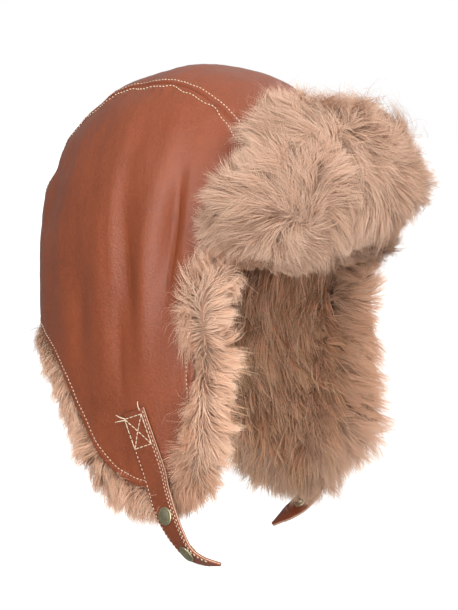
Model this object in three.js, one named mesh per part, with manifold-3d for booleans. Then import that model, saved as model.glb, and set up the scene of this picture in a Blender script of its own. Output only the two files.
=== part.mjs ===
// Trapper hat. A three-panel leather crown whose side panels run down into ear
// flaps, a long-pile fur lining that stands out round every edge, a fur visor
// turned up over the brow, and a leather strap with two snaps on each flap.
// Millimetres, +Z up. The wearer looks along -Y, and their right side is -X.
// The origin is the middle of the head opening, level with the brow.

import * as THREE from "three";
import Module from "manifold-3d";

const wasm = await Module();
wasm.setup();

const { Vector3, MathUtils } = THREE;
const { sin, cos, atan2, abs, max, min, exp, hypot, PI } = Math;

// Crown and flaps, measured on the outside of the leather
const HALF_WIDTH = 96;
const HALF_LENGTH = 115;
const CROWN_TOP = 121;
const WALL_TOP = -10; // above this height the wall leans in to the dome
const NAPE = -57;
const TOP_LEAN = 10; // how far forward of the middle the top lies
const SIDE_POWER = 2.5;
const LENGTH_POWER = 2;
const DOME_POWER = 2.2;
const FLAP_DROP = 150;
const FLAP_TUCK = 5; // how far the foot of each flap hangs inwards
const STRIP_HALF = 48; // half the width of the middle panel of the crown
const RIB_LENGTH = 400; // about, from the brow over the top to the nape
const ARC = 1.85; // millimetres of headband for each degree

// Thicknesses and gaps
const LEATHER = 1.6;
const STRAP_THICK = 2.2;
const GAP = 0.3;
const CLEAR = GAP + 0.1; // between a fur and what it was cut clear of
const BACKING = 8; // dense underfur and its cloth
const SNAP_SEAT = 0.9; // room under a snap's cap for the strap's bend

// Lower edge of a side panel, from the brow round the flap to the nape.
// angle is in degrees from straight ahead, and seam is the place on the seam
// above, counted from the brow (0) to the nape (1), that faces it.
const FLAP_EDGE = [
  { angle: 42, z: 0, seam: 0.13 },
  { angle: 51, z: -4, seam: 0.27 },
  { angle: 56.5, z: -18, seam: 0.36 },
  { angle: 57, z: -45, seam: 0.4 },
  { angle: 56.5, z: -76, seam: 0.425 },
  { angle: 57, z: -118, seam: 0.445 },
  { angle: 61.5, z: -144, seam: 0.46 },
  { angle: 72, z: -154, seam: 0.48 },
  { angle: 84, z: -151, seam: 0.505 },
  { angle: 95, z: -137, seam: 0.54 },
  { angle: 107, z: -107, seam: 0.59 },
  { angle: 117, z: -82, seam: 0.66 },
  { angle: 130, z: -65, seam: 0.77 },
  { angle: 142, z: -58, seam: 0.88 },
];
const PANEL_COLUMNS = 28;

// Soft folds in the leather: across and along are the half sizes of a fold,
// depth is out of the surface, lean is degrees forward for each millimetre up.
const FOLDS = [
  { angle: 65, z: 16, across: 8, along: 48, depth: -4.5, lean: -0.1 },
  { angle: 73, z: 4, across: 11, along: 60, depth: 3, lean: -0.08 },
  { angle: 83, z: -26, across: 10, along: 50, depth: -3.5, lean: -0.04 },
  { angle: 91, z: -10, across: 11, along: 60, depth: 2.5, lean: 0 },
  { angle: 104, z: -34, across: 12, along: 50, depth: -2.5, lean: 0.05 },
  { angle: 128, z: 30, across: 16, along: 30, depth: -3, lean: 0 },
  { angle: 150, z: 56, across: 20, along: 12, depth: -3, lean: 0 },
  { angle: 152, z: 34, across: 20, along: 9, depth: 2, lean: 0 },
  { angle: -70, z: 10, across: 12, along: 50, depth: -4, lean: -0.08 },
  { angle: -88, z: -20, across: 12, along: 55, depth: 3, lean: 0 },
  { angle: -104, z: -28, across: 12, along: 50, depth: -3, lean: 0.05 },
  { angle: -135, z: 40, across: 18, along: 22, depth: -3, lean: 0 },
];

// The left flap hangs fuller than the right: how far its foot drops, and how
// many degrees its back edge moves back.
const LEFT_SAG = 9;
const LEFT_SWING = 9;

// Section of the fur roll that edges the leather. out is past the cut edge,
// lift is out of the leather's outer face. The roll lies flat along the back
// of a flap, and stands up over the leather down its front.
const ROLL = [
  { out: -9, lift: -3, frontOut: -9, frontLift: -3 },
  { out: 1.2, lift: -3, frontOut: 1.2, frontLift: -3 },
  { out: 1.2, lift: 0.5, frontOut: 1.2, frontLift: 6 },
  { out: 9, lift: 2, frontOut: 5, frontLift: 15 },
  { out: 17, lift: -3, frontOut: 16, frontLift: 14 },
  { out: 17, lift: -11, frontOut: 23, frontLift: 0 },
  { out: 6, lift: -18, frontOut: 14, frontLift: -13 },
  { out: -9, lift: -15, frontOut: -9, frontLift: -15 },
];
const ROLL_HEART = { out: 5, lift: -7, frontOut: 9, frontLift: -2 };
const STANDS_UNTIL = { angle: 57, z: -118 }; // where the front of the roll starts to lie down
const LIES_FROM = { angle: 66, z: -152 };

// Locks that fan out of the roll: where each row is rooted, which way it
// leaves, and the way its tip is combed, all in the roll's own directions.
const ROLL_LOCKS = [
  { root: [7, 0], leaves: [0.5, 0.8], comb: [-0.2, 0.2], length: 14 },
  { root: [14, -6], leaves: [1, 0], comb: [0.75, 0.2], length: 13 },
  { root: [6, -13], leaves: [0.45, -0.9], comb: [0.6, -0.4], length: 14 },
];
const FRONT_LOCKS = [
  { root: [4, 9], leaves: [-0.15, 1], comb: [-1, 0.1], length: 18 },
  { root: [14, 7], leaves: [0.6, 0.8], comb: [0.8, 0.3], length: 14 },
  { root: [15, -6], leaves: [0.9, -0.5], comb: [0.5, -0.7], length: 14 },
];

// Foot of the crown's lining; below it at each side hangs a flap's lining
const LINING_FOOT = [
  { angle: 0, z: -3 },
  { angle: 46, z: -3 },
  { angle: 52, z: 6 },
  { angle: 66, z: -4 },
  { angle: 132, z: -42 },
  { angle: 150, z: -50 },
  { angle: 180, z: -50 },
];

// The visor: how far its leather stands off the headband at each height, and
// the height and stand of the fur in front of each of these rows
const VISOR = [
  { z: -3, stand: 1.2, reach: 49, furZ: -12, furStand: 9 },
  { z: 8, stand: 5.5, reach: 49, furZ: 3, furStand: 25 },
  { z: 26, stand: 9, reach: 47, furZ: 24, furStand: 34 },
  { z: 46, stand: 6, reach: 44, furZ: 48, furStand: 37 },
  { z: 66, stand: -3, reach: 40, furZ: 74, furStand: 31 },
  { z: 80, stand: -12, reach: 35, furZ: 96, furStand: 6 },
];
const FUR_REACH = 1.1; // how far round the fur reaches, against the leather
const WHORL = { angle: 28, z: 30 }; // the fur is combed away from here
const VISOR_COLUMNS = 16;

// Straps: the rows of lies are on the flap (angle, z, stand off the leather),
// and those of hangs are free (x, y, z). turn twists the face about the strap's
// run, and each snap sits on a row of the two tables counted together. Both
// straps are written as on the right.
const STRAP_HALF_WIDTH = 9;
const STRAP_RIGHT = {
  lies: [
    { angle: 78.4, z: -103, stand: 0.6 },
    { angle: 75.8, z: -116.5, stand: 0.6 },
    { angle: 72.8, z: -131.5, stand: 0.6 },
    { angle: 69.8, z: -147, stand: 1.2 },
  ],
  hangs: [
    { x: -95, y: -48.5, z: -159.5, turn: 2, width: 1 },
    { x: -97, y: -55, z: -168.5, turn: 8, width: 1 },
    { x: -97, y: -63, z: -180, turn: 20, width: 1 },
    { x: -95, y: -71.6, z: -190.5, turn: 36, width: 1 },
    { x: -92, y: -81.5, z: -195, turn: 50, width: 0.8 },
    { x: -88, y: -93, z: -196.5, turn: 60, width: 0.16 },
  ],
};
const STRAP_LEFT = {
  lies: [
    { angle: 69, z: -111, stand: 0.6 },
    { angle: 70.2, z: -125, stand: 0.6 },
    { angle: 71.6, z: -140, stand: 0.6 },
    { angle: 73.2, z: -156, stand: 1.2 },
  ],
  hangs: [
    { x: -94.5, y: -31.5, z: -167, turn: 0, width: 1 },
    { x: -95.5, y: -29.5, z: -176, turn: -4, width: 1 },
    { x: -93.5, y: -26, z: -185, turn: -8, width: 1 },
    { x: -88.5, y: -20.5, z: -194, turn: -13, width: 1 },
    { x: -81.5, y: -13, z: -202, turn: -20, width: 0.8 },
    { x: -74, y: -5, z: -210, turn: -26, width: 0.16 },
  ],
};
const SNAP_RADIUS = 6.2;
const SNAP_HOLE = 2.4;
const SNAPS = [
  { name: "upper", row: 5 },
  { name: "lower", row: 7 },
];

// A repeatable source of small variations
function dice(seed) {
  let state = seed;
  return (low, high) => {
    state = (state * 1664525 + 1013904223) % 4294967296;
    return low + ((high - low) * state) / 4294967296;
  };
}

// Linear reading of a table by one of its columns
function read(table, key, at, column) {
  const next = table.findIndex((row) => row[key] >= at);
  if (next === 0) return table[0][column];
  if (next < 0) return table[table.length - 1][column];
  const [low, high] = [table[next - 1], table[next]];
  const share = (at - low[key]) / (high[key] - low[key]);
  return MathUtils.lerp(low[column], high[column], share);
}

// The crown's form

// Below 1 inside the crown, 1 on the outer face of the leather
function level(x, y, z) {
  const rise = max(0, (z - WALL_TOP) / (CROWN_TOP - WALL_TOP));
  const drop = max(0, (WALL_TOP - z) / FLAP_DROP);
  const width = HALF_WIDTH - FLAP_TUCK * drop ** 2;
  const along = abs(y + TOP_LEAN * rise ** 2) / HALF_LENGTH;
  return abs(x / width) ** SIDE_POWER + along ** LENGTH_POWER + rise ** DOME_POWER;
}

// Scales a step from a heart until it meets the leather's outer face
function meet(heart, step) {
  let [low, high] = [0, 400 / step.length()];
  for (let i = 0; i < 50; i += 1) {
    const mid = (low + high) / 2;
    const p = heart.clone().addScaledVector(step, mid);
    if (level(p.x, p.y, p.z) < 1) low = mid;
    else high = mid;
  }
  return heart.clone().addScaledVector(step, low);
}

function onCrown(p) {
  const heart = new Vector3(0, 0, min(p.z, WALL_TOP));
  return meet(heart, p.clone().sub(heart));
}

function onWall(angle, z) {
  const a = MathUtils.degToRad(angle);
  return meet(new Vector3(0, 0, z), new Vector3(-HALF_WIDTH * sin(a), -HALF_LENGTH * cos(a), 0));
}

function angleOf(p) {
  return MathUtils.radToDeg(atan2(-p.x / HALF_WIDTH, -p.y / HALF_LENGTH));
}

function outward(p) {
  const d = 0.05;
  const slope = (dx, dy, dz) => level(p.x + dx, p.y + dy, p.z + dz) - level(p.x - dx, p.y - dy, p.z - dz);
  return new Vector3(slope(d, 0, 0), slope(0, d, 0), slope(0, 0, d)).normalize();
}

function foldAt(p) {
  const angle = angleOf(p);
  let depth = 0;
  for (const fold of FOLDS) {
    const height = p.z - fold.z;
    let turn = angle - fold.angle - fold.lean * height;
    turn -= 360 * Math.round(turn / 360);
    depth += fold.depth * exp(-(((turn * ARC) / fold.across) ** 2) - (height / fold.along) ** 2);
  }
  return depth;
}

// A point of the crown pushed out by an offset, folds included
function skin(p, offset) {
  return p.clone().addScaledVector(outward(p), offset + foldAt(p));
}

// A point under the deepest fold, as far again into the fur as depth says
function underSkin(p, depth) {
  const deepest = max(...FOLDS.map((fold) => -fold.depth));
  return p.clone().addScaledVector(outward(p), -LEATHER - GAP - deepest - depth);
}

// A point of the front-to-back rib at x, from the brow (0) to the nape (1)
function onRib(x, along) {
  const brow = meet(new Vector3(0, 0, 0), new Vector3(x, -HALF_LENGTH, 0)).y;
  const start = atan2(-WALL_TOP, abs(brow));
  const end = PI + atan2(WALL_TOP - NAPE, HALF_LENGTH);
  const angle = MathUtils.lerp(start, end, along);
  let [low, high] = [0, 300];
  for (let i = 0; i < 50; i += 1) {
    const mid = (low + high) / 2;
    if (level(x, -mid * cos(angle), WALL_TOP + mid * sin(angle)) < 1) low = mid;
    else high = mid;
  }
  return new Vector3(x, -low * cos(angle), WALL_TOP + low * sin(angle));
}

// Solids

// A closed body from points and faces. Equal points are merged, faces that
// collapse are dropped, and the body is turned to face out.
function solid(points, faces) {
  const places = new Map();
  const merged = [];
  const index = points.map((p) => {
    const key = p.toArray().map((v) => Math.round(v * 500)).join();
    if (!places.has(key)) {
      places.set(key, merged.length / 3);
      merged.push(p.x, p.y, p.z);
    }
    return places.get(key);
  });
  const kept = faces
    .map((face) => face.map((i) => index[i]))
    .filter(([a, b, c]) => a !== b && b !== c && c !== a);
  const build = (list) =>
    new wasm.Manifold(
      new wasm.Mesh({
        numProp: 3,
        vertProperties: new Float32Array(merged),
        triVerts: new Uint32Array(list.flat()),
      }),
    );
  const made = build(kept);
  return made.volume() > 0 ? made : build(kept.map(([a, b, c]) => [a, c, b]));
}

// A wall between two faces, each a grid of points given column by column.
// A closed wall's last column is its first.
function wall(outer, inner, closed = false) {
  const points = [...outer.flat(), ...inner.flat()];
  const [columns, rows] = [outer.length, outer[0].length];
  const at = (face, i, j) => face * columns * rows + i * rows + j;
  const faces = [];
  const quad = (a, b, c, d) => faces.push([a, b, c], [a, c, d]);
  for (let i = 0; i + 1 < columns; i += 1) {
    for (let j = 0; j + 1 < rows; j += 1) {
      quad(at(0, i, j), at(0, i + 1, j), at(0, i + 1, j + 1), at(0, i, j + 1));
      quad(at(1, i, j), at(1, i, j + 1), at(1, i + 1, j + 1), at(1, i + 1, j));
    }
    quad(at(0, i + 1, 0), at(0, i, 0), at(1, i, 0), at(1, i + 1, 0));
    quad(at(0, i, rows - 1), at(0, i + 1, rows - 1), at(1, i + 1, rows - 1), at(1, i, rows - 1));
  }
  const last = columns - 1;
  for (let j = 0; j + 1 < rows && !closed; j += 1) {
    quad(at(0, 0, j), at(0, 0, j + 1), at(1, 0, j + 1), at(1, 0, j));
    quad(at(0, last, j + 1), at(0, last, j), at(1, last, j), at(1, last, j + 1));
  }
  return solid(points, faces);
}

function leatherWall(grid, grow) {
  const face = (offset) => grid.map((column) => column.map((p) => skin(p, offset)));
  return wall(face(grow), face(-LEATHER - grow));
}

// A closed tube through rings of points, with a fan over each end
function tube(rings, startHeart, endHeart) {
  const size = rings[0].length;
  const points = [...rings.flat(), startHeart, endHeart];
  const [start, end] = [points.length - 2, points.length - 1];
  const faces = [];
  for (let k = 0; k < size; k += 1) {
    const next = (k + 1) % size;
    for (let i = 0; i + 1 < rings.length; i += 1) {
      const [a, b] = [i * size + k, i * size + next];
      faces.push([a, b, b + size], [a, b + size, a + size]);
    }
    const foot = (rings.length - 1) * size;
    faces.push([start, next, k], [end, foot + k, foot + next]);
  }
  return solid(points, faces);
}

// A lock of fur: a curved, flattened horn that leaves its root along out and
// ends along comb.
function lock(root, out, comb, length, width) {
  const side = new Vector3().crossVectors(out, comb).normalize();
  const path = [
    { out: -0.2, comb: -0.05, half: 0.55 },
    { out: 0.32, comb: 0.3, half: 0.46 },
    { out: 0.46, comb: 0.95, half: 0 },
  ];
  const centres = path.map((row) =>
    root.clone().addScaledVector(out, row.out * length).addScaledVector(comb, row.comb * length),
  );
  const rings = [0, 1].map((i) => {
    const run = centres[i + 1].clone().sub(centres[i]).normalize();
    const deep = new Vector3().crossVectors(run, side).normalize();
    return [0, 1, 2].map((k) => {
      const turn = (k * 2 * PI) / 3 + PI / 2;
      return centres[i]
        .clone()
        .addScaledVector(side, path[i].half * width * cos(turn))
        .addScaledVector(deep, 0.55 * path[i].half * width * sin(turn));
    });
  });
  return tube(rings, centres[0], centres[2]);
}

function fuse(solids) {
  return wasm.Manifold.union(solids);
}

// The largest body of what a cut leaves
function mainBody(cut) {
  const bodies = cut.decompose();
  return bodies.sort((a, b) => b.volume() - a.volume())[0];
}

function cylinder(radius, length, place, axis) {
  const shape = new THREE.CylinderGeometry(radius, radius, length, 8);
  shape.applyQuaternion(new THREE.Quaternion().setFromUnitVectors(new Vector3(0, 1, 0), axis));
  shape.translate(...place.toArray());
  return fromGeometry(shape);
}

function fromGeometry(shape) {
  const flat = shape.index ? shape.toNonIndexed() : shape;
  const position = flat.getAttribute("position");
  const points = [];
  const faces = [];
  for (let i = 0; i < position.count; i += 1) {
    points.push(new Vector3().fromBufferAttribute(position, i));
    if (i % 3 === 0) faces.push([i, i + 1, i + 2]);
  }
  return solid(points, faces);
}

// Leather

// Where a row of the flap's edge lies on one side
function hung(side, row) {
  const fall = side > 0 ? 0 : MathUtils.smoothstep(-row.z, 60, 150);
  const swing = (LEFT_SWING * fall * (row.angle - 56)) / 40;
  return { ...row, angle: row.angle + swing, z: row.z - LEFT_SAG * fall };
}

// The lower edge of one side panel, side 1 on the right and -1 on the left, as
// a smooth line through its rows
function flapOutline(side) {
  const seamEnd = (seam) => {
    const p = onRib(-STRIP_HALF - GAP / 2, seam);
    return { angle: angleOf(p), z: p.z, seam };
  };
  const rows = [seamEnd(0), ...FLAP_EDGE.map((row) => hung(side, row)), seamEnd(1)];
  const path = new THREE.CatmullRomCurve3(
    rows.map(({ angle, z, seam }) => new Vector3(angle * ARC, z, seam)),
    false,
    "centripetal",
  );
  return (along) => {
    const at = path.getPointAt(along);
    return { angle: (side * at.x) / ARC, z: at.y, seam: at.z };
  };
}

function flapEdge(side) {
  const outline = flapOutline(side);
  return (along) => {
    const { angle, z } = outline(along);
    return onWall(angle, z);
  };
}

function sidePanel(side, grow = 0) {
  const [columns, rows] = [PANEL_COLUMNS, 8];
  const outline = flapOutline(side);
  const edge = flapEdge(side);
  const grid = [];
  for (let i = 0; i <= columns; i += 1) {
    const along = i / columns;
    const seam = onRib(-side * (STRIP_HALF + GAP / 2), outline(along).seam);
    const foot = i === 0 || i === columns ? seam : edge(along);
    if (foot !== seam) foot.addScaledVector(edgeFrame(edge, along, side).out, grow);
    const column = [seam];
    for (let j = 1; j < rows; j += 1) column.push(onCrown(seam.clone().lerp(foot, j / rows)));
    column.push(foot);
    grid.push(column);
  }
  return leatherWall(grid, grow);
}

function crownStrip(grow = 0) {
  const [columns, rows] = [22, 4];
  const half = STRIP_HALF - GAP / 2;
  const grid = [];
  for (let i = 0; i <= columns; i += 1) {
    const column = [];
    for (let j = 0; j <= rows; j += 1) {
      const past = (2 * grow * (i / columns - 0.5)) / RIB_LENGTH;
      column.push(onRib(MathUtils.lerp(-half, half, j / rows), i / columns + past));
    }
    grid.push(column);
  }
  return leatherWall(grid, grow);
}

// A point of the turned-up visor: across runs from -1 (left) to 1 (right)
function onVisor(across, z, offset) {
  const angle = across * read(VISOR, "z", z, "reach");
  const rim = onWall(angle, 0);
  const out = outward(rim).setZ(0).normalize();
  const lower = read(VISOR, "z", z - 4, "stand");
  const upper = read(VISOR, "z", z + 4, "stand");
  const lean = (upper - lower) / 8;
  const normal = out.clone().addScaledVector(new Vector3(0, 0, 1), -lean).normalize();
  const stand = read(VISOR, "z", z, "stand");
  return rim.setZ(z).addScaledVector(out, stand).addScaledVector(normal, offset);
}

function visorLeather() {
  const columns = Array.from({ length: VISOR_COLUMNS + 1 }, (_, i) => 1 - (2 * i) / VISOR_COLUMNS);
  const face = (offset) => columns.map((across) => VISOR.map((row) => onVisor(across, row.z, offset)));
  return wall(face(LEATHER), face(0));
}

// Fur

// The frame of a fur roll at one place along an edge: the edge point, the way
// out past the cut edge, the way out of the leather's face, and how much of
// the section's front form it has there.
function edgeFrame(edge, along, side) {
  const step = 0.004;
  const before = edge(max(0, along - step));
  const after = edge(min(1, along + step));
  const run = after.sub(before).normalize();
  const base = edge(along);
  const lift = outward(base);
  const out = new Vector3().crossVectors(lift, run).multiplyScalar(side).normalize();
  const lying = (abs(angleOf(base)) - STANDS_UNTIL.angle) / (LIES_FROM.angle - STANDS_UNTIL.angle);
  const lowered = (STANDS_UNTIL.z - base.z) / (STANDS_UNTIL.z - LIES_FROM.z);
  const front = 1 - MathUtils.smoothstep(max(lying, lowered), 0, 1);
  return { base: skin(base, 0), out, lift, run, front };
}

function inFrame(frame, out, lift) {
  return frame.base.clone().addScaledVector(frame.out, out).addScaledVector(frame.lift, lift);
}

// A row of the roll's section at one place, scaled or grown about its heart
function sectionPoint(frame, row, size, grow) {
  const blend = (plain, front) => MathUtils.lerp(plain, front, frame.front);
  const heart = [blend(ROLL_HEART.out, ROLL_HEART.frontOut), blend(ROLL_HEART.lift, ROLL_HEART.frontLift)];
  const from = [blend(row.out, row.frontOut) - heart[0], blend(row.lift, row.frontLift) - heart[1]];
  const scale = size + grow / max(1, hypot(...from));
  return inFrame(frame, heart[0] + from[0] * scale, heart[1] + from[1] * scale);
}

function rollCore(edge, side, { from, to, stations }, grow) {
  const rings = [];
  for (let i = 0; i <= stations; i += 1) {
    const frame = edgeFrame(edge, MathUtils.lerp(from, to, i / stations), side);
    const end = min(i, stations - i);
    const size = end === 0 ? 0.6 : 1;
    rings.push(ROLL.map((row) => sectionPoint(frame, row, size, grow)));
  }
  const heart = (along) => sectionPoint(edgeFrame(edge, along, side), ROLL_HEART, 1, 0);
  return tube(rings, heart(from), heart(to));
}

// One edge's roll and its locks, which are cut by what they may not enter
function edgeFur(edge, side, span, seed, rooms) {
  const roll = dice(seed);
  const locks = [];
  for (let i = 1; i < span.stations; i += 1) {
    const along = MathUtils.lerp(span.from, span.to, i / span.stations);
    const frame = edgeFrame(edge, along, side);
    const row = (frame.front > 0.5 ? FRONT_LOCKS : ROLL_LOCKS)[i % 3];
    const aim = ([out, lift], spread) =>
      new Vector3()
        .addScaledVector(frame.out, out)
        .addScaledVector(frame.lift, lift)
        .addScaledVector(frame.run, roll(-spread, spread))
        .normalize();
    const root = inFrame(frame, ...row.root);
    const length = row.length * roll(0.9, 1.2);
    locks.push(lock(root, aim(row.leaves, 0.2), aim(row.comb, 0.5), length, roll(17, 22)));
  }
  const core = rollCore(edge, side, span, 0);
  return mainBody(core.add(fuse(locks).subtract(fuse(rooms))));
}

function napeEdge(along) {
  const start = angleOf(onRib(-STRIP_HALF + GAP, 1));
  return onWall(MathUtils.lerp(start, 360 - start, along), NAPE);
}

function crownLining(cutters) {
  const [columns, rows] = [20, 6];
  const faces = [[], []];
  const heart = new Vector3(0, 0, WALL_TOP);
  const roll = dice(5);
  const locks = [];
  for (let i = 0; i <= columns; i += 1) {
    const angle = (360 * i) / columns;
    const foot = onWall(angle, read(LINING_FOOT, "angle", min(angle, 360 - angle), "z"));
    const flat = hypot(foot.x, foot.y);
    const low = atan2(foot.z - WALL_TOP, flat);
    const columnOf = [[], []];
    for (let j = 0; j <= rows; j += 1) {
      const rise = MathUtils.lerp(PI / 2, low, j / rows);
      const way = new Vector3((foot.x / flat) * cos(rise), (foot.y / flat) * cos(rise), sin(rise));
      const p = j === rows ? foot : onCrown(heart.clone().addScaledVector(way, 100));
      columnOf[0].push(underSkin(p, 0));
      columnOf[1].push(underSkin(p, BACKING));
      if (j > 1 && j < rows && (i + 2 * j) % 3 === 0 && i < columns) {
        const comb = new Vector3(roll(-0.5, 0.5), roll(-0.5, 0.5), -1).normalize();
        locks.push(lock(underSkin(p, BACKING), outward(p).negate(), comb, roll(20, 24), roll(20, 25)));
      }
    }
    columnOf.forEach((column, face) => faces[face].push(column));
  }
  faces.forEach((face) => {
    face[columns] = face[0];
  });
  let made = fuse([wall(faces[0], faces[1], true), ...locks]);
  for (const cutter of cutters) made = mainBody(made.subtract(cutter));
  return made;
}

// The backing of a flap's lining, as columns of points on the crown
function flapLiningGrid(side) {
  const [columns, rows] = [8, 5];
  const [from, to] = [0.13, 0.9];
  const edge = flapEdge(side);
  return Array.from({ length: columns + 1 }, (_, i) => {
    const angle = MathUtils.lerp(61, 134, i / columns);
    const head = onWall(side * angle, read(LINING_FOOT, "angle", angle, "z") - 2 * GAP);
    const foot = edge(MathUtils.lerp(from, to, i / columns));
    return Array.from({ length: rows + 1 }, (_, j) => onCrown(head.clone().lerp(foot, j / rows)));
  });
}

function flapBacking(grid, grow) {
  const face = (depth) => grid.map((column) => column.map((p) => underSkin(p, depth)));
  return wall(face(-grow), face(BACKING + grow));
}

function flapLining(grid, seed, cutter) {
  const roll = dice(seed);
  const locks = [];
  grid.slice(1, -1).forEach((column, i) =>
    column.slice(1, -2).forEach((p, j) => {
      if ((i + 2 * j) % 3) return;
      const comb = new Vector3(0, roll(-0.7, 0.2), -1).normalize();
      locks.push(lock(underSkin(p, BACKING), outward(p).negate(), comb, roll(18, 22), roll(18, 22)));
    }),
  );
  return mainBody(fuse([flapBacking(grid, 0), ...locks]).subtract(cutter));
}

// A point on the outer face of the visor's fur, row counted up its section
function onVisorFur(across, row) {
  const low = min(Math.floor(max(row, 0)), VISOR.length - 2);
  const value = (column) => MathUtils.lerp(VISOR[low][column], VISOR[low + 1][column], row - low);
  const rim = onWall(across * value("reach") * FUR_REACH, 0);
  const out = outward(rim).setZ(0).normalize();
  return rim.setZ(value("furZ")).addScaledVector(out, value("furStand") * (1 - 0.55 * across ** 6));
}

function visorFur(rooms) {
  const last = VISOR.length - 1;
  const across = (i) => 1 - (2 * i) / VISOR_COLUMNS;
  const columns = (point) =>
    Array.from({ length: VISOR_COLUMNS + 1 }, (_, i) => VISOR.map((row, j) => point(i, j)));
  const outer = columns((i, j) => onVisorFur(across(i), j));
  const inner = columns((i, j) => {
    const past = i === 0 || i === VISOR_COLUMNS ? 1.04 : 1;
    const beyond = (j === 0 ? -3 : 0) + (j === last ? 4 : 0);
    return onVisor(across(i) * past, VISOR[j].z + beyond, LEATHER + 2 * GAP);
  });
  const roll = dice(21);
  const locks = [];
  const [lockRows, lockColumns] = [6, 7];
  for (let k = 0; k < lockRows * lockColumns; k += 1) {
    const line = Math.floor(k / lockColumns);
    const row = 0.3 + 0.88 * line;
    const at = 1 - (2 * ((k % lockColumns) + (line % 2 ? 0.25 : 0.75))) / lockColumns;
    const root = onVisorFur(at, row);
    const around = onVisorFur(at + 0.02, row).sub(onVisorFur(at - 0.02, row)).normalize();
    const up = onVisorFur(at, row + 0.05).sub(onVisorFur(at, row - 0.05)).normalize();
    const away = new Vector3().crossVectors(up, around).normalize();
    if (away.dot(root) < 0) away.negate();
    const turn = (abs(angleOf(root)) - WHORL.angle) * ARC * Math.sign(at);
    const comb = around.multiplyScalar(turn + roll(-12, 12));
    comb.addScaledVector(up, root.z - WHORL.z + roll(-12, 12)).normalize();
    locks.push(lock(root, away, comb, roll(17, 22), roll(20, 26)));
  }
  return mainBody(wall(outer, inner).add(fuse(locks).subtract(fuse(rooms))));
}

// Straps and snaps

// One strap's run, as a function that gives its place, the way across it and
// the way out of its outer face.
function strapRun(side, { lies, hangs }) {
  const places = [];
  const turns = [];
  const widths = [];
  for (const row of lies) {
    places.push(skin(onWall(row.angle, row.z), row.stand + STRAP_THICK / 2));
    turns.push(0);
    widths.push(1);
  }
  for (const row of hangs) {
    places.push(new Vector3(row.x, row.y, row.z));
    turns.push(row.turn);
    widths.push(row.width);
  }
  const path = new THREE.CatmullRomCurve3(places, false, "centripetal");
  const faceOut = outward(onWall(lies[0].angle, lies[0].z));
  const mirror = (v) => (side > 0 ? v : v.setX(-v.x));
  return (row) => {
    const along = row / (places.length - 1);
    const low = min(Math.floor(row), places.length - 2);
    const share = row - low;
    const run = path.getTangent(along);
    const turn = MathUtils.degToRad(MathUtils.lerp(turns[low], turns[low + 1], share));
    const flat = faceOut.clone().addScaledVector(run, -faceOut.dot(run)).normalize();
    const out = flat.applyAxisAngle(run, turn);
    const across = new Vector3().crossVectors(run, out).normalize();
    const width = MathUtils.lerp(widths[low], widths[low + 1], share) * STRAP_HALF_WIDTH;
    return { place: mirror(path.getPoint(along)), out: mirror(out), across: mirror(across), width };
  };
}

function strapBody(run, grow) {
  const [columns, rows] = [18, 2];
  const face = (offset) =>
    Array.from({ length: columns + 1 }, (_, i) => {
      const at = run(i / 2);
      return Array.from({ length: rows + 1 }, (_, j) =>
        at.place
          .clone()
          .addScaledVector(at.across, (at.width + grow) * (1 - (2 * j) / rows))
          .addScaledVector(at.out, offset),
      );
    });
  return wall(face(STRAP_THICK / 2 + grow), face(-STRAP_THICK / 2 - grow));
}

// Cap outside, post through the strap, and socket ring inside, as one riveted
// piece turned about the post.
function snap(at) {
  const half = STRAP_THICK / 2;
  const profile = [
    [0, half + 2.6],
    [3.6, half + 2.4],
    [5.8, half + 1.7],
    [SNAP_RADIUS, half + SNAP_SEAT],
    [1.9, half + SNAP_SEAT],
    [1.9, -half - SNAP_SEAT],
    [4.6, -half - SNAP_SEAT],
    [4.6, -half - 2.8],
    [0, -half - 2.8],
  ];
  const shape = new THREE.LatheGeometry(
    profile.map(([r, h]) => new THREE.Vector2(r, h)),
    8,
  );
  shape.applyQuaternion(new THREE.Quaternion().setFromUnitVectors(new Vector3(0, 1, 0), at.out));
  shape.translate(...at.place.toArray());
  return fromGeometry(shape);
}

function strap(run) {
  let made = strapBody(run, 0);
  for (const { row } of SNAPS) {
    const at = run(row);
    made = made.subtract(cylinder(SNAP_HOLE, 4 * STRAP_THICK, at.place, at.out));
  }
  return made;
}

// Assembly

const hat = new THREE.Group();

function material(color, roughness, metalness = 0) {
  return new THREE.MeshStandardMaterial({ color, roughness, metalness });
}
const leather = material(0x96502f, 0.45);
const strapLeather = material(0x8a4528, 0.5);
const fur = material(0xb08d74, 0.95);
const liningFur = material(0x94725a, 0.95);
const brass = material(0x6f6a4c, 0.4, 1);

function add(name, made, finish) {
  const from = made.getMesh();
  const geometry = new THREE.BufferGeometry();
  geometry.setAttribute("position", new THREE.BufferAttribute(new Float32Array(from.vertProperties), 3));
  geometry.setIndex(new THREE.BufferAttribute(new Uint32Array(from.triVerts), 1));
  const mesh = new THREE.Mesh(geometry, finish);
  mesh.name = name;
  hat.add(mesh);
}

// The crown and the nape
const napeSpan = { from: 0, to: 1, stations: 7 };
const napeRoom = rollCore(napeEdge, 1, napeSpan, CLEAR);
add("crown_strip", crownStrip(), leather);
add("edge_fur_nape", edgeFur(napeEdge, 1, napeSpan, 41, [crownStrip(CLEAR)]), fur);

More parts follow.
